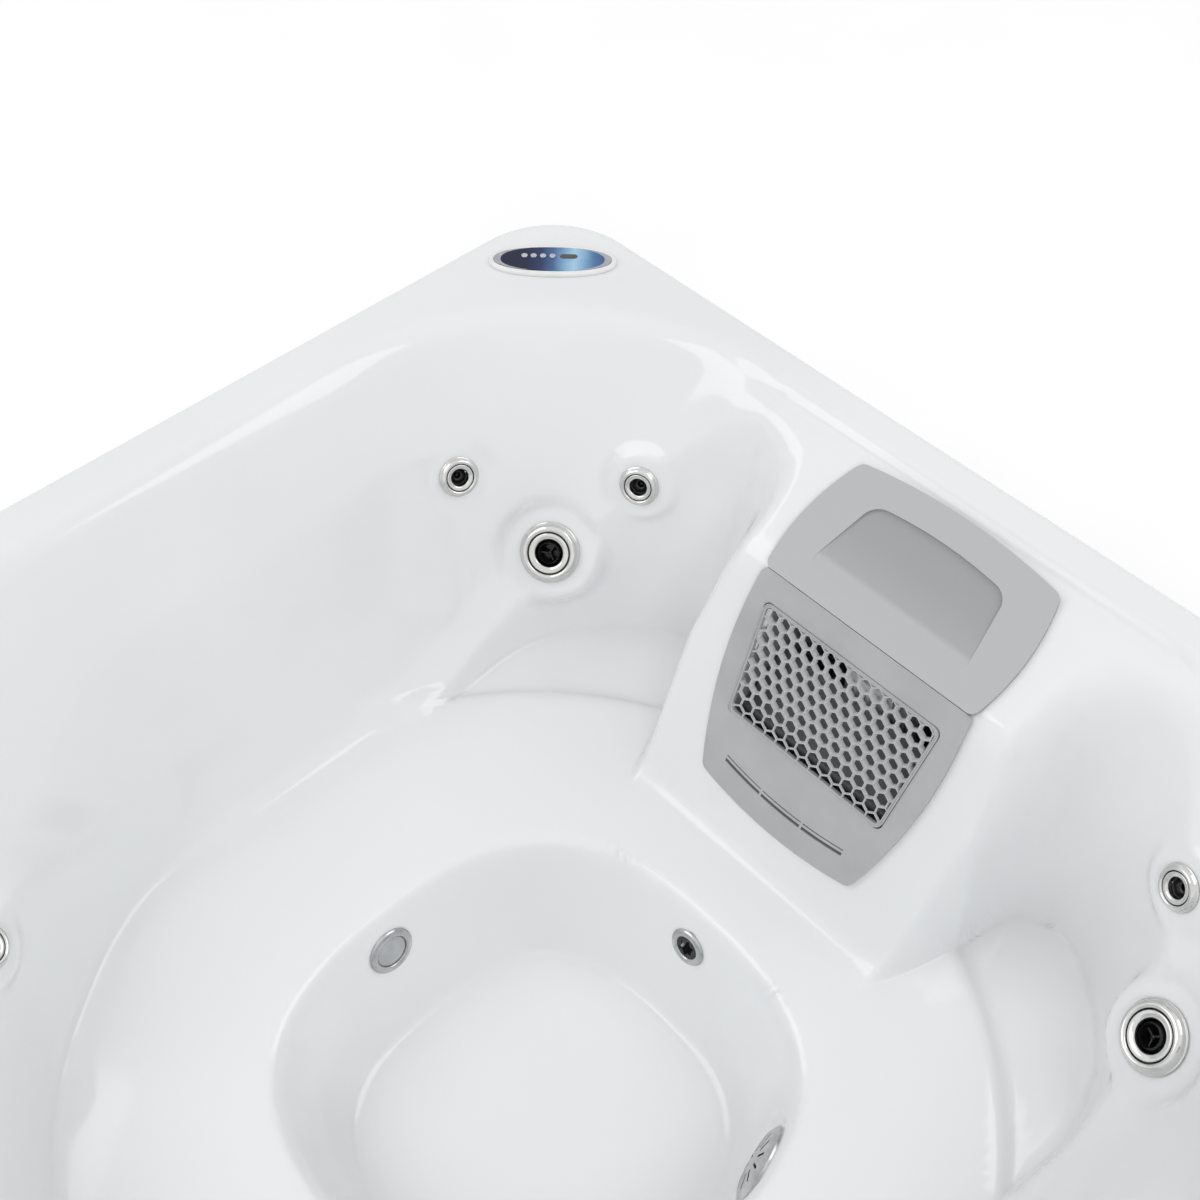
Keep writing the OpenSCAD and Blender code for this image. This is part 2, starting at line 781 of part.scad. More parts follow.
// Bodies behind the footwell wall: light, return fitting and the two suctions
light_deep = 36;
suction_deep = 40;
module footwell_housings() {
    color("dimgray") {
        at_seat(light_seat) wall_cup(light_d, light_deep, 3);
        at_seat(return_seat) jet_fitting(return_d);
        for (seat = suction_seats)
            at_seat(seat) wall_cup(suction_d, suction_deep, 4);
    }
}

// Footwell light: ring in front of the wall, lens in the ring
module light_ring() {
    r = light_d / 2;
    color("silver")
        at_seat(light_seat)
            rotate_extrude()
                polygon([[0.68 * r, 0], [r, 0], [r, 1.5], [0.92 * r, 4], [0.76 * r, 4.6],
                    [0.68 * r, 3.4]]);
}

module light_lens() {
    r = 0.68 * light_d / 2;
    color("gainsboro")
        at_seat(light_seat)
            rotate_extrude()
                polygon([[0, 0], [r, 0], [r, 2.6], [0.6 * r, 3.8], [0, 4.2]]);
}

// Footwell return: ring and a black insert with a star-shaped opening
module return_ring() {
    r = return_d / 2;
    color("silver")
        at_seat(return_seat)
            rotate_extrude()
                polygon([[0.6 * r, flange_h], [0.86 * r, flange_h], [0.86 * r, 0], [r, 0],
                    [r, 1.5], [0.88 * r, 4.4], [0.7 * r, 5], [0.6 * r, 4]]);
}

star_points = 6;
module return_insert() {
    r = 0.6 * return_d / 2;
    color("black")
        at_seat(return_seat)
            translate([0, 0, flange_h])
                linear_extrude(1.6)
                    difference() {
                        circle(r = r);
                        polygon([for (i = [0:2 * star_points - 1])
                            let (q = i % 2 == 0 ? 0.82 * r : 0.5 * r, a = 180 * i / star_points)
                            [q * cos(a), q * sin(a)]]);
                    }
}

// Footwell suctions: slotted domed covers
suction_slots = 12;
module suction_covers() {
    r = suction_d / 2;
    color("silver")
        for (seat = suction_seats)
            at_seat(seat)
                difference() {
                    rotate_extrude()
                        polygon([[0, 5], [0.8 * r, 5], [0.8 * r, 0], [r, 0], [r, 3],
                            [0.8 * r, 8], [0.4 * r, 10], [0, 10]]);
                    for (k = [0:suction_slots - 1])
                        rotate(k * 360 / suction_slots)
                            translate([0.34 * r, -1.6, 2])
                                cube([0.4 * r, 3.2, 12]);
                }
}

// Control panel on the corner pad, long side across the corner
module at_panel() {
    translate([half - panel_in, panel_in - half, rim_z - pad_drop])
        rotate(45)
            children();
}

module pill(length, width) {
    square([length - width, width], center = true);
    for (x = [-1, 1])
        translate([x * (length - width) / 2, 0])
            circle(d = width);
}

module oval(length, width, step = 6) {
    polygon([for (a = [0:step:359])
        let (c = cos(a), s = sin(a))
        [length / 2 * sign(c) * pow(abs(c), 0.9), width / 2 * sign(s) * pow(abs(s), 0.9)]]);
}

housing_len = panel_len - 46;
housing_wid = panel_wid - 22;
housing_deep = 34;
face_in = 6;
overlay_t = 1;
button_rise = 1.2;
well_deep = 3.4;
button_x = [37, 25, 12.6, 0.2];
button_y = -6;
window_x = -21;
window_len = 23;
window_wid = 9;
module panel_opening() {
    at_panel() {
        translate([0, 0, -20])
            linear_extrude(40)
                oval(housing_len + 3, housing_wid + 3, 15);
        linear_extrude(20)
            oval(panel_len + 3, panel_wid + 3, 10);
    }
}

module panel_bezel() {
    color("white")
        at_panel()
            difference() {
                linear_extrude(panel_t)
                    oval(panel_len, panel_wid);
                translate([0, 0, panel_t - overlay_t])
                    linear_extrude(5)
                        oval(panel_len - 2 * face_in, panel_wid - 2 * face_in);
                for (x = button_x)
                    translate([x, button_y, panel_t - overlay_t - well_deep])
                        cylinder(d = button_d + 2 * jet_gap, h = 10);
            }
}

module panel_overlay() {
    color("steelblue")
        at_panel()
            translate([0, 0, panel_t - overlay_t])
                linear_extrude(overlay_t)
                    difference() {
                        oval(panel_len - 2 * face_in - 0.4, panel_wid - 2 * face_in - 0.4);
                        for (x = button_x)
                            translate([x, button_y])
                                circle(d = button_d + 2 * jet_gap);
                        translate([window_x, button_y])
                            pill(window_len, window_wid);
                    }
}

module panel_window() {
    color("black")
        at_panel()
            translate([window_x, button_y, panel_t - overlay_t])
                linear_extrude(overlay_t + 0.4)
                    pill(window_len - 0.2, window_wid - 0.2);
}

module panel_housing() {
    color("dimgray")
        at_panel()
            translate([0, 0, -housing_deep])
                linear_extrude(housing_deep)
                    oval(housing_len, housing_wid);
}

module panel_button(i) {
    foot = panel_t - overlay_t - well_deep + button_travel + jet_gap;
    color("silver")
        at_panel()
            translate([button_x[i], button_y, foot])
                cylinder(d = button_d, h = panel_t + button_rise - foot);
}

// Cabinet: base pan, corner trims, panels with plank grooves
panel_top = rim_z - shell_t - 10;
trim_end = cab - cab_r - trim_flat;
module rounded_square(h, r) {
    square([2 * h, 2 * (h - r)], center = true);
    square([2 * (h - r), 2 * h], center = true);
    for (x = [-1, 1], y = [-1, 1])
        translate([x * (h - r), y * (h - r)])
            circle(r = r);
}

module base_pan() {
    color("dimgray")
        difference() {
            linear_extrude(pan_h)
                rounded_square(cab, cab_r);
            translate([0, 0, pan_t])
                linear_extrude(pan_h)
                    rounded_square(cab - 4, cab_r - 4);
        }
}

module corner_trims() {
    color("dimgray")
        translate([0, 0, pan_h])
            linear_extrude(panel_top - pan_h)
                difference() {
                    rounded_square(cab, cab_r);
                    rounded_square(cab - panel_th, cab_r - panel_th);
                    square([2 * trim_end, 3 * cab], center = true);
                    square([3 * cab, 2 * trim_end], center = true);
                }
}

side_gap = 0.5;
groove = 4;
planks = ceil((panel_top - pan_h) / plank_h);
// One side of the cabinet, drawn at the back and standing on the base pan
module side_panel(thick, lift, top) {
    color("slategray")
        difference() {
            translate([side_gap - trim_end, cab - thick, pan_h + lift])
                cube([2 * (trim_end - side_gap), thick, top - pan_h - lift]);
            for (k = [1:planks - 1])
                translate([-trim_end, cab - 3, pan_h + k * plank_h])
                    cube([2 * trim_end, 10, groove]);
        }
}

drain_at = [260, 82];
drain_r = 16;
module at_drain() {
    translate([-cab, drain_at[0], drain_at[1]])
        rotate([0, 90, 0])
            children();
}

module panel_back() {
    side_panel(panel_th, 0, panel_top);
}

module panel_left() {
    difference() {
        rotate(90)
            side_panel(panel_th, 0, panel_top);
        at_drain()
            translate([0, 0, -5])
                cylinder(r = drain_r + 0.3, h = 60);
    }
}

// Ends of the frame's rails and width of its posts, which the cable gland keeps clear of
post_w = 44;
rail_half = half - pad_r - 70;
gland_at = [36 + post_w - rail_half, 82];
gland_r = 12;
gland_out = 8;
cable_r = 7;
module at_gland() {
    translate([cab, gland_at[0], gland_at[1]])
        rotate([0, -90, 0])
            children();
}

module panel_right() {
    difference() {
        rotate(-90)
            side_panel(panel_th, 0, panel_top);
        at_gland()
            translate([0, 0, -5])
                cylinder(r = gland_r + 0.3, h = 60);
    }
}

// Removable front panel, which ends under the skirt, and its screws
front_top = rim_z - skirt_h - 3;
screw_r = 2.8;
screw_len = 30;
screw_z = [pan_h + 40, front_top - 60];
module front_holes(r, start, deep) {
    for (x = [front_spots[0], front_spots[3]], z = screw_z)
        translate([x, start - cab, z])
            rotate([-90, 0, 0])
                cylinder(r = r, h = deep);
}

module panel_front() {
    difference() {
        rotate(180)
            side_panel(panel_th - jet_gap, jet_gap, front_top);
        front_holes(screw_r + jet_gap, -1, panel_th + 2);
    }
}

module panel_screws() {
    color("silver") {
        front_holes(7, -2.2, 2.2);
        front_holes(screw_r, -1, screw_len);
    }
}

// Timber frame behind the panels
rail_h = 40;
rest_gap = 0.9;
rail_z = rim_z - shell_t - rail_h - rest_gap;
post_spots = [-rail_half + post_w / 2, 0, rail_half - post_w / 2];
front_spots = [-rail_half + post_w / 2, -270, 270, rail_half - post_w / 2];
module frame_side(spots) {
    for (x = spots)
        translate([x - post_w / 2, post_out - timber, pan_t])
            cube([post_w, timber, rail_z - pan_t]);
}

module frame_posts() {
    color("burlywood")
        difference() {
            union() {
                for (a = [0, 90, -90])
                    rotate(a) frame_side(post_spots);
                rotate(180) frame_side(front_spots);
            }
            front_holes(screw_r + jet_gap, panel_th - 1, screw_len - panel_th + 2);
        }
}

module frame_rails() {
    color("burlywood")
        for (a = [0, 90, 180, 270])
            rotate(a)
                translate([-rail_half, post_out - timber, rail_z])
                    cube([2 * rail_half, timber, rail_h]);
}

sheet_t = 16;
module insulation_sheets() {
    color("gainsboro")
        difference() {
            for (a = [0, 90, -90])
                rotate(a)
                    translate([-rail_half, post_out - timber - sheet_t, pan_t])
                        cube([2 * rail_half, sheet_t, rim_z - 150 - pan_t]);
            at_drain()
                cylinder(r = drain_r + 1, h = 100);
        }
}

module well_support() {
    color("gainsboro")
        translate([0, 0, pan_t])
            cylinder(r = 110, h = rim_z - well_depth - shell_t - pan_t);
}

// Curved hose from one end to the other, leaving and arriving along given directions
function bend_point(a, b, c, d, t) =
    pow(1 - t, 3) * a + 3 * t * pow(1 - t, 2) * b + 3 * t * t * (1 - t) * c + t * t * t * d;
module hose(start, out, finish, into, d) {
    steps = 14;
    sides = 10;
    path = [for (i = [0:steps]) bend_point(start, start + out, finish - into, finish, i / steps)];
    dirs = [for (i = [0:steps])
        let (v = i == 0 ? out : i == steps ? into : path[i + 1] - path[i - 1]) v / norm(v)];
    across = cross(dirs[0], dirs[floor(steps / 2)] + [0.001, 0.002, 0.003]);
    flat = across / norm(across);
    points = [for (i = [0:steps])
        let (u = flat - (flat * dirs[i]) * dirs[i], ux = u / norm(u), uy = cross(dirs[i], ux))
        for (k = [0:sides - 1])
            path[i] + d / 2 * (cos(360 * k / sides) * ux + sin(360 * k / sides) * uy)];
    faces = [for (i = [0:steps - 1]) for (k = [0:sides - 1])
        let (n = (k + 1) % sides)
        [i * sides + k, (i + 1) * sides + k, (i + 1) * sides + n, i * sides + n]];
    polyhedron(points = points, faces = concat(faces,
        [[for (k = [0:sides - 1]) k], [for (k = [sides - 1:-1:0]) steps * sides + k]]));
}

function tail_of(seat, z) = seat[0] + [0, 0, rim_z] + z * seat[1];

// Manifolds under the seats, two straight pipes on blocks
main_x = 430;
main_end = 370;
main_d = 46;
main_z = 60;
module manifolds() {
    color("white")
        for (side = [-1, 1])
            translate([side * main_x, 0, 0]) {
                translate([0, -main_end, main_z])
                    rotate([-90, 0, 0])
                        cylinder(d = main_d, h = 2 * main_end);
                for (y = [-0.7 * main_end, 0.7 * main_end])
                    translate([-14, y - 16, pan_t])
                        cube([28, 32, main_z - pan_t]);
            }
}

// Hose from a wall fitting down to the outer side of a manifold at y
module fitting_hose(seat, y) {
    side = sign(seat[0][0]);
    tail = tail_of(seat, tail_z(seat[2]) - barb_len - end_gap);
    hose(tail, -70 * seat[1],
        [side * (main_x + main_d / 2 + end_gap), y, main_z], [-90 * side, 0, 0], hose_d - 1);
}

module water_hoses() {
    color("lightgray") {
        for (i = [0:len(hose_seats) - 1])
            fitting_hose(hose_seats[i], hose_y[i]);
        hose(tail_of(return_seat, tail_z(return_d) - barb_len - end_gap), -60 * return_seat[1],
            [main_d / 2 + end_gap - main_x, -300, main_z], [-120, 0, 0], hose_d - 1);
        hose([drain_len - cab + end_gap, drain_at[0], drain_at[1]], [60, 0, 0],
            [-main_x - main_d / 2 - end_gap, drain_at[0] + 30, main_z], [60, 0, 0], 2 * drain_r - 6);
    }
}

end_gap = 0.3;
hose_seats = concat(small_seats, large_seats);
hose_y = [-150, -340, -340, -150, 330, 360, 360, 330, -250, -250];

// Pump at the front left: foot, volute, motor, shaft and impeller on one axis along x
pump_y = -half + 155;
pump_z = 128;
volute_x = -half + 195;
volute_w = 74;
volute_r = 88;
motor_len = 230;
shaft_r = 8;
inlet_r = pipe_d / 2;
module along_x(x) {
    translate([x, pump_y, pump_z])
        rotate([0, 90, 0])
            children();
}

module pump_volute() {
    color("black")
        difference() {
            union() {
                along_x(volute_x)
                    cylinder(r = volute_r, h = volute_w);
                along_x(volute_x - 30)
                    cylinder(r = inlet_r, h = 32);
                translate([volute_x + volute_w / 2, pump_y, pump_z])
                    rotate([-90, 0, 0])
                        cylinder(r = inlet_r, h = volute_r + 26);
            }
            along_x(volute_x + 8)
                cylinder(r = volute_r - 8, h = volute_w - 16);
            along_x(volute_x - 31)
                cylinder(r = inlet_r - 4, h = 45);
            along_x(volute_x + volute_w - 12)
                cylinder(r = shaft_r + jet_gap, h = 20);
            translate([volute_x + volute_w / 2, pump_y + volute_r - 12, pump_z])
                rotate([-90, 0, 0])
                    cylinder(r = inlet_r - 4, h = 60);
        }
}

// Motor with its cooling fins and feet, hollow, with a bearing at each end
fins = 24;
fin_h = 6;
case_t = 12;
foot_w = 120;
bearing = 0.05;
motor_x = volute_x + volute_w;
module pump_motor() {
    color("dimgray")
        difference() {
            union() {
                along_x(motor_x)
                    cylinder(d = motor_d, h = motor_len);
                for (k = [0:fins - 1])
                    translate([motor_x + 36, pump_y, pump_z])
                        rotate([k * 360 / fins, 0, 0])
                            translate([0, -1.5, 0])
                                cube([motor_len - 72, 3, motor_d / 2 + fin_h]);
                for (x = [10, motor_len - 30])
                    translate([motor_x + x, pump_y - foot_w / 2, pan_t])
                        cube([20, foot_w, pump_z - motor_d / 2 + 14 - pan_t]);
            }
            along_x(motor_x + case_t)
                cylinder(r = motor_d / 2 - case_t, h = motor_len - 2 * case_t);
            along_x(motor_x - 1)
                cylinder(r = shaft_r + bearing, h = motor_len - 3);
        }
}

// Rotor: shaft, armature in the motor and impeller in the volute
armature_r = motor_d / 2 - 26;
impeller_r = volute_r - 22;
blades = 6;
module pump_rotor() {
    color("silver") {
        along_x(volute_x + 20)
            cylinder(r = shaft_r, h = volute_w + motor_len - 26);
        along_x(motor_x + 40)
            cylinder(r = armature_r, h = motor_len - 90);
        along_x(volute_x + 24)
            cylinder(r = impeller_r, h = 4);
        for (k = [0:blades - 1])
            translate([volute_x + 27, pump_y, pump_z])
                rotate([k * 360 / blades, 0, 0])
                    translate([0, 0, -2])
                        cube([18, impeller_r - 2, 4]);
    }
}

// Suction side: a pipe along the left wall that gathers both suctions and the filter
gather_x = volute_x - 30 - inlet_r - end_gap;
gather_end = -130;
gather_y = [-170, -300];
suction_hose_d = 40;
module suction_pipes() {
    color("white") {
        translate([gather_x, pump_y - 40, pump_z])
            rotate([-90, 0, 0])
                cylinder(r = inlet_r, h = gather_end - pump_y + 40);
        for (i = [0, 1])
            hose(tail_of(suction_seats[i], -suction_deep - end_gap), -90 * suction_seats[i][1],
                [gather_x + inlet_r + end_gap, gather_y[i], pump_z], [-120, 0, 0],
                suction_hose_d);
        hose([0, axis_y, rim_z - house_floor - spout - end_gap], [0, 0, -110],
            [gather_x, pump_y, pump_z + inlet_r + end_gap], [0, 0, -220], 2 * outlet_r - 1);
    }
}

// Heater tube with its end nuts, carried by saddles on the control box
box_x = [150, 460];
box_y = [-half + 62, -half + 152];
box_h = 190;
heater_y = -half + 200;
heater_z = 110;
heater_x = [60, 400];
module heater_tube() {
    color("silver")
        translate([heater_x[0], heater_y, heater_z])
            rotate([0, 90, 0])
                difference() {
                    cylinder(d = heater_d, h = heater_x[1] - heater_x[0]);
                    translate([0, 0, -1])
                        cylinder(d = heater_d - 5, h = heater_x[1] - heater_x[0] + 2);
                }
}

nut_w = 30;
module heater_nuts() {
    color("white")
        for (x = [heater_x[0] - nut_w, heater_x[1]])
            translate([x, heater_y, heater_z])
                rotate([0, 90, 0])
                    difference() {
                        cylinder(d = heater_d + 22, h = nut_w, $fn = 10);
                        translate([0, 0, -1])
                            cylinder(d = heater_d - 16, h = nut_w + 2);
                    }
}

// Control box with the two saddles that carry the heater
saddle_x = [190, 330];
module control_box() {
    color("dimgray") {
        difference() {
            translate([box_x[0], box_y[0], pan_t])
                cube([box_x[1] - box_x[0], box_y[1] - box_y[0], box_h]);
            translate([box_x[0] + 3, box_y[0] - 1, pan_t + 3])
                cube([box_x[1] - box_x[0] - 6, box_y[1] - box_y[0] - 2, box_h - 6]);
        }
        for (x = saddle_x)
            difference() {
                translate([x, box_y[1] - 1, heater_z - 20])
                    cube([24, heater_y - box_y[1] + 1, 40]);
                translate([x - 1, heater_y, heater_z])
                    rotate([0, 90, 0])
                        cylinder(d = heater_d + 0.2, h = 26);
            }
    }
}

module control_box_lid() {
    color("black")
        translate([box_x[0] - 2, box_y[0] - 4, pan_t])
            cube([box_x[1] - box_x[0] + 4, 4, box_h]);
}

// Cable gland through the right panel, with nothing in it
module cable_gland() {
    color("black")
        at_gland()
            difference() {
                union() {
                    translate([0, 0, -gland_out])
                        cylinder(r = gland_r + 4, h = gland_out, $fn = 6);
                    translate([0, 0, -1])
                        cylinder(r = gland_r, h = panel_th + 11);
                    translate([0, 0, panel_th])
                        cylinder(r = gland_r + 4, h = 5, $fn = 6);
                }
                translate([0, 0, -gland_out - 1])
                    cylinder(r = cable_r, h = gland_out + panel_th + 13);
            }
}

// Pressure side: pump to heater, heater to the right manifold, and across to the left one
pressure_d = 42;
outlet_y = pump_y + volute_r + 26;
module return_pipes() {
    color("white") {
        hose([volute_x + volute_w / 2, outlet_y + 2 * end_gap, pump_z], [0, 80, 0],
            [heater_x[0] - nut_w - end_gap, heater_y, heater_z], [150, 0, 0], pressure_d);
        hose([heater_x[1] + nut_w + end_gap, heater_y, heater_z], [70, 0, 0],
            [main_x, -main_end - end_gap, main_z], [0, 70, 0], pressure_d);
        hose([main_x, main_end + end_gap, main_z], [0, 200, 0],
            [-main_x, main_end + end_gap, main_z], [0, -200, 0], pressure_d);
    }
}

// Drain in the left panel: body through the panel, cap that unscrews outside
drain_len = 68;
module drain_body() {
    color("white")
        at_drain()
            difference() {
                union() {
                    translate([0, 0, -2])
                        cylinder(r = drain_r + 8, h = 2);
                    translate([0, 0, -2])
                        cylinder(r = drain_r, h = drain_len + 2);
                }
                translate([0, 0, -3])
                    cylinder(r = drain_r - 4, h = drain_len - 8);
            }
}

module drain_cap() {
    color("white")
        at_drain() {
            translate([0, 0, -8])
                cylinder(r = drain_r + 3, h = 6 - jet_gap, $fn = 12);
            translate([0, 0, -3])
                cylinder(r = drain_r - 4 - jet_gap, h = 14);
        }
}

acrylic_shell();
filter_lid();
filter_plate();
honeycomb_grille();
filter_housing();
weir_pin();
weir_flap();
filter_cartridge();
jet_fittings();
jet_face_small(0);  // jet_face_small_1
jet_face_small(1);  // jet_face_small_2
jet_face_small(2);  // jet_face_small_3
jet_face_small(3);  // jet_face_small_4
jet_face_small(4);  // jet_face_small_5
jet_face_small(5);  // jet_face_small_6
jet_face_small(6);  // jet_face_small_7
jet_face_small(7);  // jet_face_small_8
jet_face_large(0);  // jet_face_large_1
jet_face_large(1);  // jet_face_large_2
jet_nozzle_large(0);  // jet_nozzle_large_1
jet_nozzle_large(1);  // jet_nozzle_large_2
footwell_housings();
light_ring();
light_lens();
return_ring();
return_insert();
suction_covers();
panel_bezel();
panel_overlay();
panel_window();
panel_housing();
panel_button(0);  // panel_button_1
panel_button(1);  // panel_button_2
panel_button(2);  // panel_button_3
panel_button(3);  // panel_button_4
base_pan();
corner_trims();
panel_back();
panel_left();
panel_right();
panel_front();
panel_screws();
frame_posts();
frame_rails();
insulation_sheets();
well_support();
manifolds();
water_hoses();
pump_volute();
pump_motor();
pump_rotor();
suction_pipes();
heater_tube();
heater_nuts();
control_box();
control_box_lid();
cable_gland();
return_pipes();
drain_body();
drain_cap();
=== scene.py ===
import json
import bmesh
import bpy
import numpy as np
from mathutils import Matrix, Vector

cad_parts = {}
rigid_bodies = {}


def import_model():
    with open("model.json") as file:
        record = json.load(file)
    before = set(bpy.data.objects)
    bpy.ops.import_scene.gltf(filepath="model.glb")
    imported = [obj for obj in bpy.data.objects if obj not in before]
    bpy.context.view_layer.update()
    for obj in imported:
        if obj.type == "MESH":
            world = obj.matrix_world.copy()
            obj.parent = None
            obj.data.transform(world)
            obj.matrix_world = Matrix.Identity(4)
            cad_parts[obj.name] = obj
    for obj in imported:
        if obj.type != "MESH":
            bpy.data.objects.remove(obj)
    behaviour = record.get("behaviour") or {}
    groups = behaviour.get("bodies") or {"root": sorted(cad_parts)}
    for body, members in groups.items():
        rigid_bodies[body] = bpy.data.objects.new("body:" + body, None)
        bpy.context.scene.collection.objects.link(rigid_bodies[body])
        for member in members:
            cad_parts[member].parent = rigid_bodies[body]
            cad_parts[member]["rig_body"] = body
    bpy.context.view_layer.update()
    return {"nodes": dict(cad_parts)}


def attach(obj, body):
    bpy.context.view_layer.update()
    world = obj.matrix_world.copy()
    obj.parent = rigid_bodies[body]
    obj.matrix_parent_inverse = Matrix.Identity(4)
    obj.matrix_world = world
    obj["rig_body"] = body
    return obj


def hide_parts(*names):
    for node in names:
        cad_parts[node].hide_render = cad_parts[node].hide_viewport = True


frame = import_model()
nodes = frame["nodes"]
bodyOf = {node: piece["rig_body"] for node, piece in nodes.items()}
print("frame loaded with", len(nodes), "nodes")

# Lengths are millimetres and angles degrees, and a mesh is turned into metres when it is made. A
# material's scales are per metre and its depths metres.
mergeWithin = 2e-6  # metres between points that become one


def cosine(angle):  # of an angle in degrees, and sine likewise
    return np.cos(np.radians(angle))


def sine(angle):
    return np.sin(np.radians(angle))


def ease(low, high, value):  # 3t² - 2t³, with t the share of the way from low to high
    t = np.clip((value - low) / (high - low), 0, 1)
    return t * t * (3 - 2 * t)


def mix(a, b, t):  # a where t is 0, b where t is 1, in proportion between
    return a * (1 - t) + b * t


def softMin(a, b, k):  # the smaller of two heights, rounded by a parabola where they lie within k
    h = np.clip(0.5 + 0.5 * (b - a) / k, 0, 1)
    return b * (1 - h) + a * h - k * h * (1 - h)


def softMax(a, b, k):  # the larger of two heights, by the same rule turned over
    return -softMin(-a, -b, k)


# Meshes from arrays of points


def gridFaces(rows, columns, wrapRows=False, wrapColumns=False):
    # face (i, j) joins the points (i, j), (i+1, j), (i+1, j+1) and (i, j+1)
    i, j = np.meshgrid(np.arange(rows if wrapRows else rows - 1),
                       np.arange(columns if wrapColumns else columns - 1), indexing="ij")
    i, j = i.ravel(), j.ravel()
    nextI, nextJ = (i + 1) % rows, (j + 1) % columns
    return np.stack([i * columns + j, nextI * columns + j, nextI * columns + nextJ,
                     i * columns + nextJ], 1)


def splitFlattest(points, faces):
    # each quad a b c d becomes two triangles, parted by a-c or b-d, whichever leaves the two
    # normals closer to each other
    def likeness(p, q, r, t):
        first, second = np.cross(q - p, r - p), np.cross(r - p, t - p)
        size = np.linalg.norm(first, axis=1) * np.linalg.norm(second, axis=1)
        return (first * second).sum(1) / np.maximum(size, 1e-9)
    a, b, c, d = (points[faces[:, k]] for k in range(4))
    byFirst = likeness(a, b, c, d) >= likeness(b, c, d, a)
    one, two = faces[byFirst], faces[~byFirst]
    return np.concatenate([one[:, [0, 1, 2]], one[:, [0, 2, 3]],
                           two[:, [1, 2, 3]], two[:, [1, 3, 0]]])


def roundCorners(points, radius, steps=4, closed=True):
    # corner c becomes (1-t)² a + 2t(1-t) c + t² b, with a and b on its two sides, up to radius away
    # and never past 0.45 of a side
    p = np.asarray(points, float)
    toBefore, toAfter = np.roll(p, 1, 0) - p, np.roll(p, -1, 0) - p
    before = np.linalg.norm(toBefore, axis=1, keepdims=True)
    after = np.linalg.norm(toAfter, axis=1, keepdims=True)
    reach = np.minimum(radius, 0.45 * np.minimum(before, after))
    a, b = p + toBefore / before * reach, p + toAfter / after * reach
    t = np.linspace(0, 1, steps + 1)[None, :, None]
    curve = (1 - t) ** 2 * a[:, None] + 2 * t * (1 - t) * p[:, None] + t * t * b[:, None]
    if closed:
        return curve.reshape(-1, 2)
    return np.concatenate([p[:1], curve[1:-1].reshape(-1, 2), p[-1:]])


def lathe(profile, sides=96, closed=True):
    # point (i, j) is (r cos a, r sin a, z), with a the i-th angle and (r, z) the j-th profile point
    angle = np.linspace(0, 2 * np.pi, sides, endpoint=False)[:, None]
    r, z = np.asarray(profile, float).T
    points = np.stack([r * np.cos(angle), r * np.sin(angle), z + 0 * angle], -1)
    return points.reshape(-1, 3), gridFaces(sides, len(r), True, closed)


def sweepRing(path, normals, profile):
    # point (i, j) is path point i, plus the profile's first value along its outward normal in the
    # path's plane, with the profile's second value as its height
    out, up = np.asarray(profile, float).T
    flat = path[:, None] + normals[:, None] * out[None, :, None]
    points = np.concatenate([flat, np.broadcast_to(up[None, :, None], flat.shape[:2] + (1,))], -1)
    return points.reshape(-1, 3), gridFaces(len(path), len(out), True, True)


def outwardNormals(path):
    # a closed anticlockwise path's tangent, from its neighbours, turned right by 90 degrees
    tangent = np.roll(path, -1, 0) - np.roll(path, 1, 0)
    tangent /= np.linalg.norm(tangent, axis=1, keepdims=True)
    return np.stack([tangent[:, 1], -tangent[:, 0]], 1)


def addPiece(name, parts, look, body, stands=(), crease=35, recalc=True):
    # the parts' points one after another, with each part's faces counted on from its first point
    points = np.concatenate([part[0] for part in parts])
    starts = np.cumsum([0] + [len(part[0]) for part in parts[:-1]])
    faces = np.concatenate([part[1] + start for part, start in zip(parts, starts)])
    mesh = bpy.data.meshes.new(name)
    mesh.from_pydata((points / 1000).tolist(), [], faces.tolist())
    tidyMesh(mesh, recalc)
    return dress(mesh, name, look, body, stands, crease)


def tidyMesh(mesh, recalc=True, dissolve=0):
    # merges points, dissolves edges that bend less than so many degrees, turns faces outwards
    work = bmesh.new()
    work.from_mesh(mesh)
    bmesh.ops.remove_doubles(work, verts=work.verts, dist=mergeWithin)
    if dissolve:
        bmesh.ops.dissolve_limit(work, angle_limit=np.radians(dissolve), verts=work.verts,
                                 edges=work.edges)
    if recalc:
        bmesh.ops.recalc_face_normals(work, faces=work.faces)
    work.to_mesh(mesh)
    work.free()


def dress(mesh, name, look, body, stands=(), crease=35):
    # smooth faces, sharp where two meet at more than the crease angle, with finish and body, and the
    # CAD parts that it stands for hidden
    mesh.polygons.foreach_set("use_smooth", np.ones(len(mesh.polygons), bool))
    mesh.set_sharp_from_angle(angle=np.radians(crease))
    mesh.materials.clear()
    mesh.materials.append(finish[look])
    piece = bpy.data.objects.new(name, mesh)
    bpy.context.scene.collection.objects.link(piece)
    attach(piece, body)
    if stands:
        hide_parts(*stands)
    return piece


# Materials


def linear(code):  # the colour of a six-digit hex code, from screen values to light
    v = np.array([int(code[i:i + 2], 16) for i in (0, 2, 4)]) / 255
    return (*np.where(v <= 0.04045, v / 12.92, ((v + 0.055) / 1.055) ** 2.4), 1)


def startFinish(name, look):  # a shader with the look's values, and the Object coordinates
    material = bpy.data.materials.new(name)
    material.use_nodes = True
    tree = material.node_tree
    shader = tree.nodes["Principled BSDF"]
    for socket, value in look.items():
        shader.inputs[socket].default_value = value
    place = tree.nodes.new("ShaderNodeTexCoord").outputs["Object"]
    return material, tree, shader, place


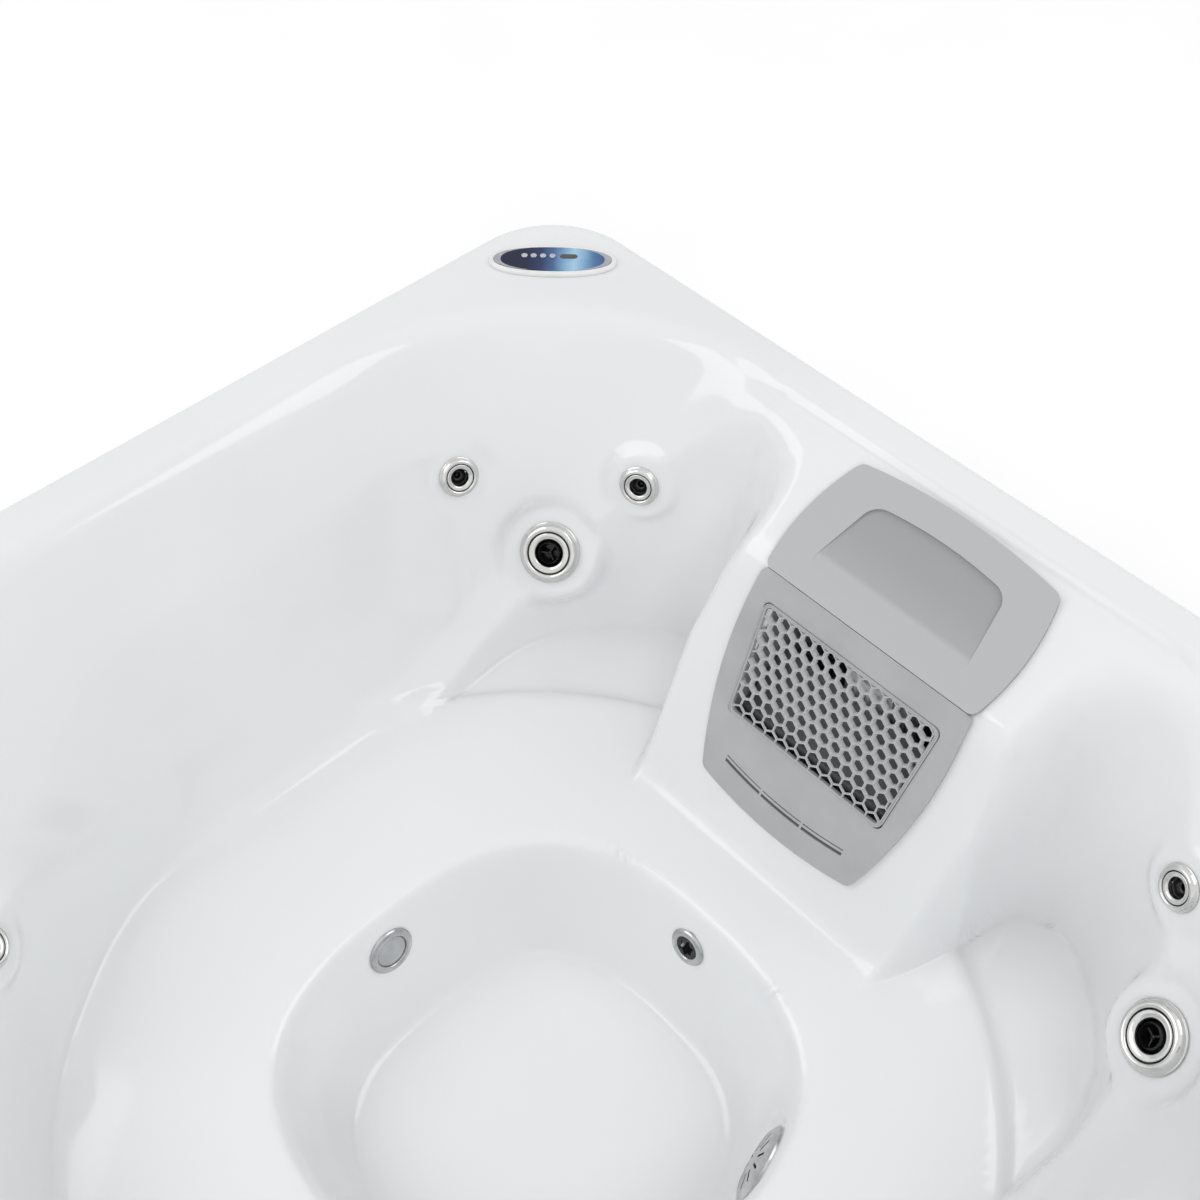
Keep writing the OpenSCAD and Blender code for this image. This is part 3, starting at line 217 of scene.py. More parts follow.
def addNode(tree, kind, values, sources, **choices):
    # a node with these choices, these values at its inputs, and sockets linked to others of them
    node = tree.nodes.new("ShaderNode" + kind)
    for choice, value in choices.items():
        setattr(node, choice, value)
    for socket, value in values.items():
        node.inputs[socket].default_value = value
    for socket, source in sources.items():
        tree.links.new(source, node.inputs[socket])
    return node


def stretched(tree, place, scale):  # the coordinates times the scale
    return addNode(tree, "Mapping", {"Scale": scale}, {"Vector": place}).outputs[0]


def measured(tree, place, origin, turn, unit, axis):
    # one coordinate in a frame of its own: place less origin, turned back, divided by the unit
    values = {"Location": origin, "Rotation": np.radians(turn), "Scale": (unit,) * 3}
    mapping = addNode(tree, "Mapping", values, {"Vector": place}, vector_type="TEXTURE")
    return addNode(tree, "SeparateXYZ", {}, {0: mapping.outputs[0]}).outputs[axis]


def noise(tree, place, scale, detail=3, distortion=0):  # soft clouds, finer with more detail
    values = {"Scale": scale, "Detail": detail, "Distortion": distortion}
    return addNode(tree, "TexNoise", values, {"Vector": place}).outputs[0]


def cells(tree, place, scale):  # distance to the nearest of scattered points
    return addNode(tree, "TexVoronoi", {"Scale": scale}, {"Vector": place}).outputs[0]


def spread(tree, value, low, high, start=0.3, end=0.7):
    # low where the value is start, high where it is end, in proportion between
    values = {"From Min": start, "From Max": end, "To Min": low, "To Max": high}
    return addNode(tree, "MapRange", values, {"Value": value}).outputs[0]


def combine(tree, operation, values, sources):  # one number worked out from up to three
    return addNode(tree, "Math", values, sources, operation=operation).outputs[0]


def ramp(tree, value, stops):  # a colour for each value, mixed between its stops
    node = addNode(tree, "ValToRGB", {}, {0: value})
    elements = node.color_ramp.elements
    for extra in stops[2:]:
        elements.new(extra[0])
    for element, (at, code) in zip(elements, sorted(stops)):
        element.position = at
        element.color = linear(code)
    return node.outputs[0]


def bump(tree, shader, height, depth):
    # a relief of the height times the depth, laid over any that the shader has already
    node = addNode(tree, "Bump", {"Distance": depth}, {"Height": height})
    if shader.inputs["Normal"].links:
        tree.links.new(shader.inputs["Normal"].links[0].from_socket, node.inputs["Normal"])
    tree.links.new(node.outputs[0], shader.inputs["Normal"])


def roughen(tree, shader, place, s):
    # the roughness drifts between two values; grain and pebble each add a relief of a scale and a
    # depth
    marks = noise(tree, place, s.get("wear", 3 * s["patch"]), 4)
    tree.links.new(spread(tree, marks, *s["rough"]), shader.inputs["Roughness"])
    for scale, depth in s.get("grain", ()):
        bump(tree, shader, noise(tree, place, scale, 2), depth)
    for scale, depth in s.get("pebble", ()):
        bump(tree, shader, cells(tree, place, scale), depth)


def surfaceFinish(name, s):  # the colour drifts between two shades in soft patches
    material, tree, shader, place = startFinish(name, s.get("look", {}))
    patches = noise(tree, place, s["patch"], s.get("detail", 3))
    colour = ramp(tree, patches, [(0.32, s["dark"]), (0.68, s["light"])])
    tree.links.new(colour, shader.inputs["Base Color"])
    roughen(tree, shader, place, s)
    return material


satin = dict(patch=20, rough=(0.42, 0.58), grain=((700, 0.00006),), look={"IOR": 1.5})
finishes = {
    "acrylic": dict(light="f0f1f2", dark="ebedee", patch=2.2, detail=2, rough=(0.10, 0.16),
                    wear=9, grain=((26, 0.00006),),
                    look={"IOR": 1.49, "Coat Weight": 0.6, "Coat Roughness": 0.04}),
    "cover_grey": dict(light="b9babb", dark="b0b1b2", patch=14, rough=(0.36, 0.46), wear=60,
                       grain=((900, 0.00004),), pebble=((1400, 0.00002),), look={"IOR": 1.5}),
    "dark_plastic": dict(satin, light="3c3e40", dark="333537"),
    "housing_grey": dict(satin, light="b4b6b8", dark="a8aaac"),
    "flap_grey": dict(satin, light="5c5e60", dark="525456"),
    "stainless": dict(light="c9cac9", dark="b2b4b4", patch=60, rough=(0.16, 0.28),
                      grain=((1500, 0.00001),), look={"Metallic": 1.0}),
    "chrome": dict(light="dadad8", dark="d0d0ce", patch=30, rough=(0.04, 0.09),
                   grain=((220, 0.00001),), look={"Metallic": 1.0}),
    "black_plastic": dict(light="141517", dark="0d0e0f", patch=60, rough=(0.24, 0.38),
                          grain=((900, 0.00003),), look={"IOR": 1.5}),
    "lens": dict(light="b4b8ba", dark="a5a9ab", patch=70, rough=(0.3, 0.42),
                 pebble=((260, 0.0003),), look={"IOR": 1.45, "Coat Weight": 0.5}),
    "panel_white": dict(light="f1f1f0", dark="ebebea", patch=30, rough=(0.2, 0.28),
                        grain=((800, 0.00002),), look={"IOR": 1.5}),
    "panel_silver": dict(light="b2b3b8", dark="a3a4aa", patch=160, rough=(0.32, 0.42),
                         grain=((2400, 0.00002),), look={"Metallic": 0.35}),
    "button_silver": dict(light="c4c8ce", dark="b0b5bd", patch=200, rough=(0.22, 0.32),
                          grain=((2400, 0.00001),), look={"Metallic": 0.7}),
    "display": dict(light="191b1c", dark="121415", patch=300, rough=(0.06, 0.1),
                    look={"Coat Weight": 0.8, "IOR": 1.5}),
    "foam": dict(light="cfcfc8", dark="bdbdb5", patch=26, rough=(0.75, 0.9),
                 pebble=((420, 0.0009), (900, 0.0004))),
    "white_pipe": dict(light="e6e6e2", dark="d9d9d4", patch=16, rough=(0.3, 0.42),
                       grain=((500, 0.00004),)),
    "motor_paint": dict(light="4b5660", dark="414b54", patch=18, rough=(0.35, 0.5),
                        pebble=((800, 0.00008),)),
    "rotor_steel": dict(light="8d8f90", dark="7b7d7f", patch=40, rough=(0.3, 0.45),
                        grain=((1200, 0.00003),), look={"Metallic": 0.9}),
}
finish = {name: surfaceFinish(name, settings) for name, settings in finishes.items()}

wood = dict(grainScale=3.2, grainStretch=22, grainDetail=6, swirl=0.6, grainDepth=0.0006,
            fibres=70, fibreDepth=0.0003, stops=(0.3, 0.5, 0.7))
slate = dict(shades=("4f565d", "5a6168", "666d74"), rough=(0.5, 0.68))
timber = dict(shades=("a8824f", "bf9863", "cda974"), rough=(0.55, 0.75))
# Plank finishes: axis that the fibres follow, and shades
planks = {"planks_x": (0, slate), "planks_y": (1, slate), "timber_up": (2, timber),
          "timber_rail": (0, timber)}


def plankFinish(name, along, kind):
    # long fibres: noise squeezed across the plank, so that it draws out along it, in three shades
    material, tree, shader, place = startFinish(name, {"IOR": 1.45})
    scale = [wood["grainStretch"]] * 3
    scale[along] = 1.0
    lines = stretched(tree, place, scale)
    grain = noise(tree, lines, wood["grainScale"], wood["grainDetail"], wood["swirl"])
    fibres = noise(tree, lines, wood["fibres"], 3)
    tree.links.new(ramp(tree, grain, list(zip(wood["stops"], kind["shades"]))),
                   shader.inputs["Base Color"])
    tree.links.new(spread(tree, fibres, *kind["rough"]), shader.inputs["Roughness"])
    bump(tree, shader, grain, wood["grainDepth"])
    bump(tree, shader, fibres, wood["fibreDepth"])
    return material


for name, (along, kind) in planks.items():
    finish[name] = plankFinish(name, along, kind)

hose = dict(clouds=12, dark="9ea4a7", light="b9bec0", rough=(0.3, 0.45), ribs=160, ribDepth=0.0004)
paper = dict(weave=420, dark="dfe2e2", light="f1f3f2", rough=0.9, depth=0.0003)


def hoseFinish():
    # clouded flexible hose, with a relief of noise squeezed along z for its fine ribs
    material, tree, shader, place = startFinish("hose", {"IOR": 1.45, "Coat Weight": 0.2})
    clouds = noise(tree, place, hose["clouds"], 3)
    tree.links.new(ramp(tree, clouds, [(0.3, hose["dark"]), (0.7, hose["light"])]),
                   shader.inputs["Base Color"])
    tree.links.new(spread(tree, clouds, *hose["rough"]), shader.inputs["Roughness"])
    ribs = noise(tree, stretched(tree, place, (1, 1, 6)), hose["ribs"], 2)
    bump(tree, shader, ribs, hose["ribDepth"])
    return material


def paperFinish():
    # filter cloth: matt and fibrous, with a weave of noise squeezed along z
    material, tree, shader, place = startFinish("filter_paper", {"Roughness": paper["rough"]})
    weave = noise(tree, stretched(tree, place, (1, 1, 3)), paper["weave"], 4)
    tree.links.new(ramp(tree, weave, [(0.3, paper["dark"]), (0.7, paper["light"])]),
                   shader.inputs["Base Color"])
    bump(tree, shader, weave, paper["depth"])
    return material


finish["hose"] = hoseFinish()
finish["filter_paper"] = paperFinish()
print("materials made:", len(finish))

# Basin of the tub, as a height over its middle

tub = dict(side=1520, height=740, thick=6, cornerR=125, edgeR=12, rimSide=70, rimFront=60,
           padR=190, padDrop=2, lipCornerR=360, lipFall=1.3, wallBend=0.0038, seatDepth=396,
           bucketDrop=12, bucketR=524, backFootR=515, shoulderDepth=200, backSteep=8,
           wellDepth=570, wellR=278, wellLean=15, wellCentre=(-8, -20), wellLobes=4,
           lobeShare=0.043, towerHalf=200, towerTaper=0.3, taperFrom=49, towerEndY=-200,
           noTower=400, towerRound=200, towerSteep=5.5, lidTilt=26, plateTilt=65, lidBack=87,
           lidBackDrop=2, lidLen=164, coverT=6, ledgeDrop=10)
# How far the basin's surfaces run into each other: lengths, and spans of length or of bearing
soft = dict(lip=25, tower=170, towerTurn=(-100, 100), towerNear=(-60, 100), towerEnds=(330, 400),
            front=(-8, 2), ledge=8, ridge=26, pad=4, backLeast=60, backFoot=28, back=90,
            bucket=24, wellFoot=90, wellBrim=40, backFrom=(3, 38), seatAtTower=34,
            seatBeside=56, besideFrom=(22, 34), seatFront=110, frontFrom=(28, 42),
            frontTo=(50, 75))
half = tub["side"] / 2
rimZ = tub["height"]
lipX = half - tub["rimSide"]
lipFront = half - tub["rimFront"]
lidBackY = tub["lidBack"] - half
lidBackZ = -tub["lidBackDrop"]
bendY = lidBackY + tub["lidLen"] * cosine(tub["lidTilt"])
bendZ = lidBackZ - tub["lidLen"] * sine(tub["lidTilt"])


def lipDistance(x, y):  # distance inside a rounded square, from above
    middle, reach = (lipX - lipFront) / 2, (lipX + lipFront) / 2
    r = tub["lipCornerR"]
    qx, qy = abs(x) - lipX + r, abs(y - middle) - reach + r
    return r - np.hypot(np.maximum(qx, 0), np.maximum(qy, 0)) - np.minimum(np.maximum(qx, qy), 0)


def towerDistance(x, y):  # distance outside the filter tower, which tapers towards its foot
    taper = np.maximum(0, y - bendY - tub["taperFrom"])
    beside = abs(x) - tub["towerHalf"] + tub["towerTaper"] * taper
    return np.where(y > tub["towerEndY"], tub["noTower"], beside)


def pocket(x, y):  # drop = fall · run + bend · run², run being measured from lip and tower
    outer, side = lipDistance(x, y), towerDistance(x, y)
    run = softMin(outer, side, tub["towerRound"])
    run = run * (1 + (tub["towerSteep"] - 1) * ease(*soft["towerTurn"], outer - side))
    return -run * np.where(run < 0, tub["lipFall"], tub["lipFall"] + tub["wallBend"] * run)


def backWall(x, y):  # steep at its foot, and flatter above the shoulder
    r, inside = np.hypot(x, y), lipDistance(x, y)
    steep = tub["backSteep"] * (r - tub["backFootR"]) - tub["seatDepth"]
    across = np.maximum(soft["backLeast"], inside + r - tub["backFootR"] - soft["backFoot"])
    return softMin(steep, -tub["shoulderDepth"] * inside / across, soft["back"])


def rimTop(x, y):  # corner pads, and the two slopes of the filter tower
    corner = np.hypot(half - abs(x), half - abs(y))
    pad = -tub["padDrop"] * (1 - ease(tub["padR"] - soft["pad"], tub["padR"] + soft["pad"], corner))
    lid, plate = tub["lidTilt"], tub["plateTilt"]
    lidPlane = lidBackZ - tub["coverT"] / cosine(lid) - (y - lidBackY) * sine(lid) / cosine(lid)
    platePlane = bendZ - tub["coverT"] / cosine(plate) - (y - bendY) * sine(plate) / cosine(plate)
    tower = softMin(softMin(-tub["ledgeDrop"], lidPlane, soft["ledge"]), platePlane, soft["ridge"])
    start, end = (-lipFront + at for at in soft["front"])
    over = (1 - ease(*soft["towerEnds"], abs(x))) * ease(start, end, y)
    return np.where((y < start) | (y > 0), pad, mix(pad, tower, over))


def lowPart(x, y):  # seat ring, buckets and a footwell that is a cone with a four-lobed plan
    dx, dy = x - tub["wellCentre"][0], y - tub["wellCentre"][1]
    lobes = 1 - tub["lobeShare"] * np.cos(tub["wellLobes"] * np.arctan2(dy, dx))
    r = np.hypot(dx, dy) / lobes
    cone = (r - tub["wellR"]) * cosine(tub["wellLean"]) / sine(tub["wellLean"]) - tub["seatDepth"]
    bucket = ease(tub["bucketR"], tub["bucketR"] + soft["bucket"], np.hypot(x, y))
    seat = -tub["seatDepth"] - tub["bucketDrop"] * bucket
    return softMin(seat, softMax(-tub["wellDepth"], cone, soft["wellFoot"]), soft["wellBrim"])


def basin(x, y):
    # walls and rim blended into the seats by a smooth maximum, tight at the tower and wide in
    # the front seats
    side = np.degrees(np.arctan2(y, abs(x)))
    wall = mix(pocket(x, y), backWall(x, y), ease(*soft["backFrom"], side))
    off = abs(np.degrees(np.arctan2(x, -y)))
    front = soft["seatFront"] * ease(*soft["frontFrom"], off) * (1 - ease(*soft["frontTo"], off))
    blend = soft["seatAtTower"] + soft["seatBeside"] * ease(*soft["besideFrom"], off) + front
    nearTower = ease(*soft["towerNear"], lipDistance(x, y) - towerDistance(x, y))
    brink = soft["lip"] + soft["tower"] * nearTower
    return softMax(lowPart(x, y), softMin(wall, rimTop(x, y), brink), blend)


def basinNormal(x, y):  # (-dz/dx, -dz/dy, 1) from half a millimetre to each side, made unit length
    gx = basin(x + 0.5, y) - basin(x - 0.5, y)
    gy = basin(x, y + 0.5) - basin(x, y - 0.5)
    normal = np.stack([-gx, -gy, np.ones_like(gx)], -1)
    return normal / np.linalg.norm(normal, axis=-1, keepdims=True)


# Seats of the wall fittings: bearing from the middle, depth under the rim, diameter
fittings = {
    "small": dict(bearings=(-35.8, -54.8, -125.2, -144.2, 61, 42, 138, 119),
                  depths=(168, 168, 168, 168, 196, 196, 196, 196), size=53),
    "large": dict(bearings=(-45.3, -134.7), depths=(276, 276), size=82),
    "light": dict(bearings=(-0.8,), depths=(452,), size=62),
    "return": dict(bearings=(-90,), depths=(455,), size=50),
    "suction": dict(bearings=(150, 210), depths=(462, 462), size=96),
}
search = dict(nearest=180.0, farthest=740.0, halvings=30)


def seatsOf(kind):
    # halving finds where each bearing's line passes the depth; the normal there is the seat's axis
    bearing, depth = np.array(kind["bearings"], float), np.array(kind["depths"], float)
    low, high = (np.full(len(bearing), search[end]) for end in ("nearest", "farthest"))
    for halving in range(search["halvings"]):
        r = (low + high) / 2
        below = basin(r * cosine(bearing), r * sine(bearing)) < -depth
        low, high = np.where(below, r, low), np.where(below, high, r)
    x, y = r * cosine(bearing), r * sine(bearing)
    return np.stack([x, y, basin(x, y) + rimZ], 1), basinNormal(x, y)


def seatAxes(normal):  # the seat's own axes: downhill, sideways and out of the wall
    n = np.asarray(normal)
    sideways = np.array([-n[1], n[0], 0]) / np.hypot(n[0], n[1])
    return np.cross(sideways, n), sideways, n


def atSeat(part, seat):  # place + x downhill + y sideways + z out of the wall
    points, faces = part
    u, v, n = seatAxes(seat[1])
    return seat[0] + points[:, :1] * u + points[:, 1:2] * v + points[:, 2:] * n, faces


seats = {}
for kind, settings in fittings.items():
    places, normals = seatsOf(settings)
    seats[kind] = [(place, normal, settings["size"]) for place, normal in zip(places, normals)]


def onCover(tilt, backY, backZ, x, s, n):
    # x across, s down the slope and n out of the face: y = back + s cos + n sin, and
    # z = back - s sin + n cos
    c, k = cosine(tilt), sine(tilt)
    return np.stack([x + 0 * s, backY + s * c + n * k, rimZ + backZ - s * k + n * c], -1)


def onLid(x, s, n):
    return onCover(tub["lidTilt"], lidBackY, lidBackZ, x, s, n)


def onPlate(x, s, n):
    return onCover(tub["plateTilt"], bendY, bendZ, x, s, n)


# Acrylic shell: spokes round the middle and rings that follow the slope

shell = dict(rings=114, samples=260, evenings=8, jetDepths=((-345, -320), (-125, -95)),
             jetWeight=1.7, bendWeight=55, bendMost=2.5, averaged=9, padFlat=0.74, padEdge=16,
             wellPad=0.5, holeShare=0.3, openHalf=120, openBack=22, openFoot=222,
             edgeBends=(15, 30, 45, 60, 75, 90), skirtDrops=(20, 33, 46), crease=80)
# Degrees between spokes: where nothing is small, and from one bearing to another
spokes = dict(coarse=2.6, counted=0.05, fade=3,
              fine=((29.5, 61.5, 0.7), (118.5, 150.5, 0.7), (-146, -34, 0.65), (-75, -60, 0.3),
                    (-120, -105, 0.3)))


def squareReach(angle, inset):  # distance from the middle to the rounded square, this far inside it
    h, r = half - inset, max(tub["cornerR"] - inset, 1)
    c, s = abs(cosine(angle)), abs(sine(angle))
    big, small, k = np.maximum(c, s), np.minimum(c, s), h - r
    corner = k * (c + s) + np.sqrt(np.maximum(0, (k * (c + s)) ** 2 - 2 * k * k + r * r))
    return np.where(h * small / big <= k, h / big, corner)


def spokeBearings():
    # even steps of a measure that grows fast where the jets are and slowly elsewhere
    angle = np.arange(-180, 180, spokes["counted"])
    density = np.full(len(angle), 1 / spokes["coarse"])
    for low, high, step in spokes["fine"]:
        fade = spokes["fade"]
        near = ease(low - fade, low, angle) * (1 - ease(high, high + fade, angle))
        density = np.maximum(density, mix(density, 1 / step, near))
    measure = np.concatenate([[0], np.cumsum(density)[:-1]]) * spokes["counted"]
    count = int(round(measure[-1]))
    return np.interp(np.arange(count) * measure[-1] / count, measure, angle)


def ringPlaces(angle):
    # distances along each spoke, even in a weighted length: more rings at bends and at the jets
    end = squareReach(angle, tub["edgeR"])
    share = np.linspace(0, 1, shell["samples"])
    r = share[None, :] * end[:, None]
    z = basin(r * cosine(angle)[:, None], r * sine(angle)[:, None])
    step = np.hypot(np.diff(r, axis=1), np.diff(z, axis=1))
    slope = np.arctan2(np.diff(z, axis=1), np.diff(r, axis=1))
    turn = abs(np.diff(slope, axis=1, append=slope[:, -1:])) / step
    middle = (z[:, 1:] + z[:, :-1]) / 2
    under, over = shell["jetDepths"]
    nearJets = ease(*under, middle) * (1 - ease(*over, middle))
    bends = np.minimum(shell["bendWeight"] * turn, shell["bendMost"])
    weight = 1 + shell["jetWeight"] * nearJets + bends
    n = shell["averaged"]
    padded = np.pad(weight, ((0, 0), (n // 2, n // 2)), "edge")
    weight = np.stack([np.convolve(row, np.ones(n) / n, "valid") for row in padded])
    way = np.concatenate([np.zeros((len(angle), 1)), np.cumsum(step * weight, 1)], 1)
    aims = np.linspace(0, 1, shell["rings"])[None, :] * way[:, -1:]
    index = np.clip((way[:, :, None] <= aims[:, None, :]).sum(1), 1, way.shape[1] - 1)
    low, high = np.take_along_axis(way, index - 1, 1), np.take_along_axis(way, index, 1)
    t = (aims - low) / np.maximum(high - low, 1e-9)
    return mix(np.take_along_axis(r, index - 1, 1), np.take_along_axis(r, index, 1), t)


def flattened(points, seat, flat, edge):
    # under a fitting the distance h out of the seat's plane fades to nothing towards its middle
    place, normal, size = seat
    offset = points - place
    h = offset @ normal
    away = np.linalg.norm(offset - h[..., None] * normal, axis=-1)
    keep = ease(flat * size, flat * size + edge, away)
    keep = np.where(abs(h) < size, keep, 1)
    return points - (h * (1 - keep))[..., None] * normal


def makeShell():
    # point (i, j) lies on bearing i at ring j: (r cos a, r sin a, basin height), then the rounded
    # edge and the skirt
    angle = spokeBearings()
    r = ringPlaces(angle)
    for evening in range(shell["evenings"]):
        r[:, :-1] = ((np.roll(r, 1, 0) + 2 * r + np.roll(r, -1, 0)) / 4)[:, :-1]
    c, s = cosine(angle)[:, None], sine(angle)[:, None]
    x, y = r * c, r * s
    top = np.stack([x, y, basin(x, y) + rimZ], -1)
    for kind in seats:
        flat = shell["padFlat"] if kind in ("small", "large") else shell["wellPad"]
        for seat in seats[kind]:
            top = flattened(top, seat, flat, shell["padEdge"])
    bend, skirt = np.array(shell["edgeBends"]), np.array(shell["skirtDrops"])
    inset = np.concatenate([tub["edgeR"] * (1 - sine(bend)), 0 * skirt])
    drop = np.concatenate([tub["edgeR"] * (1 - cosine(bend)), skirt])
    reach = np.stack([squareReach(angle, i) for i in inset], 1)
    edge = np.stack([reach * c, reach * s, rimZ - drop + 0 * reach], -1)
    grid = np.concatenate([top, edge], 1)
    points = grid.reshape(-1, 3)
    faces = gridFaces(*grid.shape[:2], True)
    middle = points[faces].mean(1)
    lidS = (middle[:, 1] - lidBackY) / cosine(tub["lidTilt"])
    plateS = (rimZ + bendZ - middle[:, 2]) / sine(tub["plateTilt"])
    opening = (abs(middle[:, 0]) < shell["openHalf"]) & (lidS > shell["openBack"])
    opening &= (middle[:, 1] < 0) & (plateS < shell["openFoot"])
    keep = ~opening
    for place, normal, size in sum(seats.values(), []):
        keep &= np.linalg.norm(middle - place, axis=1) > shell["holeShare"] * size
    triangles = splitFlattest(points, faces[keep])
    piece = addPiece("tub_shell", [(points, triangles)], "acrylic", "tub",
                     ["acrylic_shell"], crease=shell["crease"], recalc=False)
    mesh = piece.data
    if sum(polygon.normal.z * polygon.area for polygon in mesh.polygons) < 0:
        mesh.flip_normals()
    wall = piece.modifiers.new("wall", "SOLIDIFY")
    wall.thickness = tub["thick"] / 1000
    wall.offset = -1
    print("shell:", len(angle), "spokes,", len(mesh.polygons), "faces")


makeShell()

# Jets: chrome faces, black cups, large nozzles with vanes

jets = dict(domeSides=96, cupSides=64, hubSides=32, floorSides=48, edge=0.03, ballR=16.4, ballZ=1,
            ballAngles=(36, 24, 12, 0, -12, -24, -36), vanes=3, vaneTwist=35, vaneSteps=8,
            vaneRun=(2.4, 11.2), vaneRise=(-8.5, 2), vaneThick=1.5)
# Chrome ring in shares of its radius: lip, dome, groove, inner ring and throat
chromeProfile = [(1.0, 0.03), (1.0, 0.085), (0.965, 0.1), (0.93, 0.2), (0.86, 0.285), (0.79, 0.31),
                 (0.73, 0.29), (0.697, 0.24), (0.692, 0.05), (0.67, 0.05), (0.665, 0.235),
                 (0.64, 0.265), (0.56, 0.262), (0.48, 0.235), (0.44, 0.19), (0.42, 0.1),
                 (0.405, 0.0), (0.405, -0.2), (0.53, -0.2), (0.53, 0.03)]
cupProfile = [(0, -0.3), (0.06, -0.3), (0.1, -0.5), (0.13, -0.5), (0.17, -0.26), (0.24, -0.24),
              (0.32, -0.14), (0.37, -0.02), (0.4, 0.0), (0.4, -0.6), (0, -0.6)]
# Dark bottom of the groove between dome and inner ring
gapProfile = [(0.671, 0.051), (0.691, 0.051), (0.6912, 0.1), (0.6705, 0.1)]
# Large nozzle from its ball's centre: the bore, the hub and the floor that its vanes stand on
boreProfile = [(9.5, -9.6), (10.5, -4), (12, 4), (12.8, 8.6)]
hubProfile = [(0, 3), (1.4, 2.7), (2.6, 1.6), (3.2, -1), (3.2, -9), (0, -9)]
floorProfile = [(0, -8), (11, -8), (11, -9.4), (0, -9.4)]


def vane(turn):
    # a fin whose point is turned about the axis by its height: a = turn + twist · share of height
    n, z = jets["vaneSteps"], jets["ballZ"]
    low, high = (z + at for at in jets["vaneRise"])
    u, v = np.meshgrid(np.linspace(*jets["vaneRun"], n), np.linspace(low, high, n), indexing="ij")
    across = np.array([-jets["vaneThick"] / 2, jets["vaneThick"] / 2])
    x = np.broadcast_to(u[..., None], u.shape + (2,))
    y = np.broadcast_to(across, u.shape + (2,))
    a = turn + jets["vaneTwist"] * (v - low) / (high - low)
    c, s = cosine(a)[..., None], sine(a)[..., None]
    points = np.stack([x * c - y * s, x * s + y * c, np.broadcast_to(v[..., None], x.shape)], -1)
    sheets = points.transpose(2, 0, 1, 3)
    loops = np.concatenate([sheets[0], sheets[1][:, ::-1]], 1)
    faces = gridFaces(n, 2 * n, False, True)
    ends = np.array([[i, i + 1, 2 * n - 2 - i, 2 * n - 1 - i] for i in range(n - 1)])
    return loops.reshape(-1, 3), np.concatenate([faces, ends, (n - 1) * 2 * n + ends])


def makeNozzle(node, seat):
    # a slice of a ball with a bore, a hub and a floor, all lathed, and vanes at even turns
    raised = np.array([0, jets["ballZ"]])
    angles = np.array(jets["ballAngles"])
    ball = np.stack([jets["ballR"] * cosine(angles), jets["ballR"] * sine(angles)], 1)
    ring = lathe(np.concatenate([ball, boreProfile]) + raised, jets["cupSides"])
    hub = lathe(np.array(hubProfile) + raised, jets["hubSides"], False)
    floor = lathe(np.array(floorProfile) + raised, jets["floorSides"], False)
    vanes = [vane(k * 360 / jets["vanes"]) for k in range(jets["vanes"])]
    addPiece(node + "_vaned", [atSeat(part, seat) for part in [ring, hub, floor] + vanes],
             "black_plastic", bodyOf[node], [node])


def makeJets():
    # profiles in shares of the radius, lathed about each seat's axis; a small face holds a cup and
    # a large one its nozzle
    edge, sides = jets["edge"], jets["domeSides"]
    for kind in ("small", "large"):
        for i, seat in enumerate(seats[kind]):
            node, size = "jet_face_" + kind + "_" + str(i + 1), seat[2]
            chrome = lathe(roundCorners(chromeProfile, edge, 3) * size / 2, sides)
            addPiece(node + "_chrome", [atSeat(chrome, seat)], "chrome", bodyOf[node],
                     [node])
            gap = atSeat(lathe(np.array(gapProfile) * size / 2, sides), seat)
            if kind == "small":
                cup = roundCorners(cupProfile, edge, 2, False) * size / 2
                cup = atSeat(lathe(cup, jets["cupSides"], False), seat)
                addPiece(node + "_cup", [cup, gap], "black_plastic", bodyOf[node])
            else:
                addPiece(node + "_gap", [gap], "black_plastic", bodyOf[node])
                makeNozzle("jet_nozzle_large_" + str(i + 1), seat)
    print("jets made:", len(seats["small"]) + len(seats["large"]))


makeJets()

# Footwell light and return fitting: seat, finish, ending of the name, rounding in millimetres and
# profile in shares of the radius
footwell = {
    "light_ring": ("light", "stainless", "_turned", 0.9,
                   [(0.68, 0.0), (1, 0.0), (1, 0.06), (0.95, 0.125), (0.8, 0.16), (0.71, 0.15),
                    (0.68, 0.1)]),
    "light_lens": ("light", "lens", "_domed", 0.8,
                   [(0, 0.145), (0.2, 0.142), (0.4, 0.13), (0.6, 0.1), (0.672, 0.07),
                    (0.672, 0.0), (0, 0.0)]),
    "return_ring": ("return", "stainless", "_turned", 0.9,
                    [(0.6, 0.08), (0.8, 0.08), (0.86, 0.0), (1, 0.0), (1, 0.07), (0.93, 0.15),
                     (0.8, 0.2), (0.68, 0.19), (0.61, 0.13)]),
}


def makeFootwell():
    # each profile lathed about its seat's axis; one that starts on the axis closes there
    for node, (kind, look, ending, edge, profile) in footwell.items():
        seat, closed = seats[kind][0], profile[0][0] > 0
        outline = roundCorners(np.array(profile) * (seat[2] / 2), edge, 3, closed)
        addPiece(node + ending, [atSeat(lathe(outline, closed=closed), seat)], look, "tub",
                 [node])
    print("footwell fittings made")


makeFootwell()

# Honeycomb of the filter's front plate

# edge is the grey of the cells' front edges and side a paler grey on their walls, painted light that
# is full a little way under the front
grille = dict(top=36, foot=191, halfTop=130, halfFoot=119, rim=6, cell=15.8, wall=1.6, overlap=0.02,
              deep=10.5, footDeep=3, shallow=(132, 172), level=0.2, cutOut=2.5, crease=30,
              frameR=14, beadEdge=0.7, edge="b9babb", side="f4f5f6", paintedLightFrom=0.6)
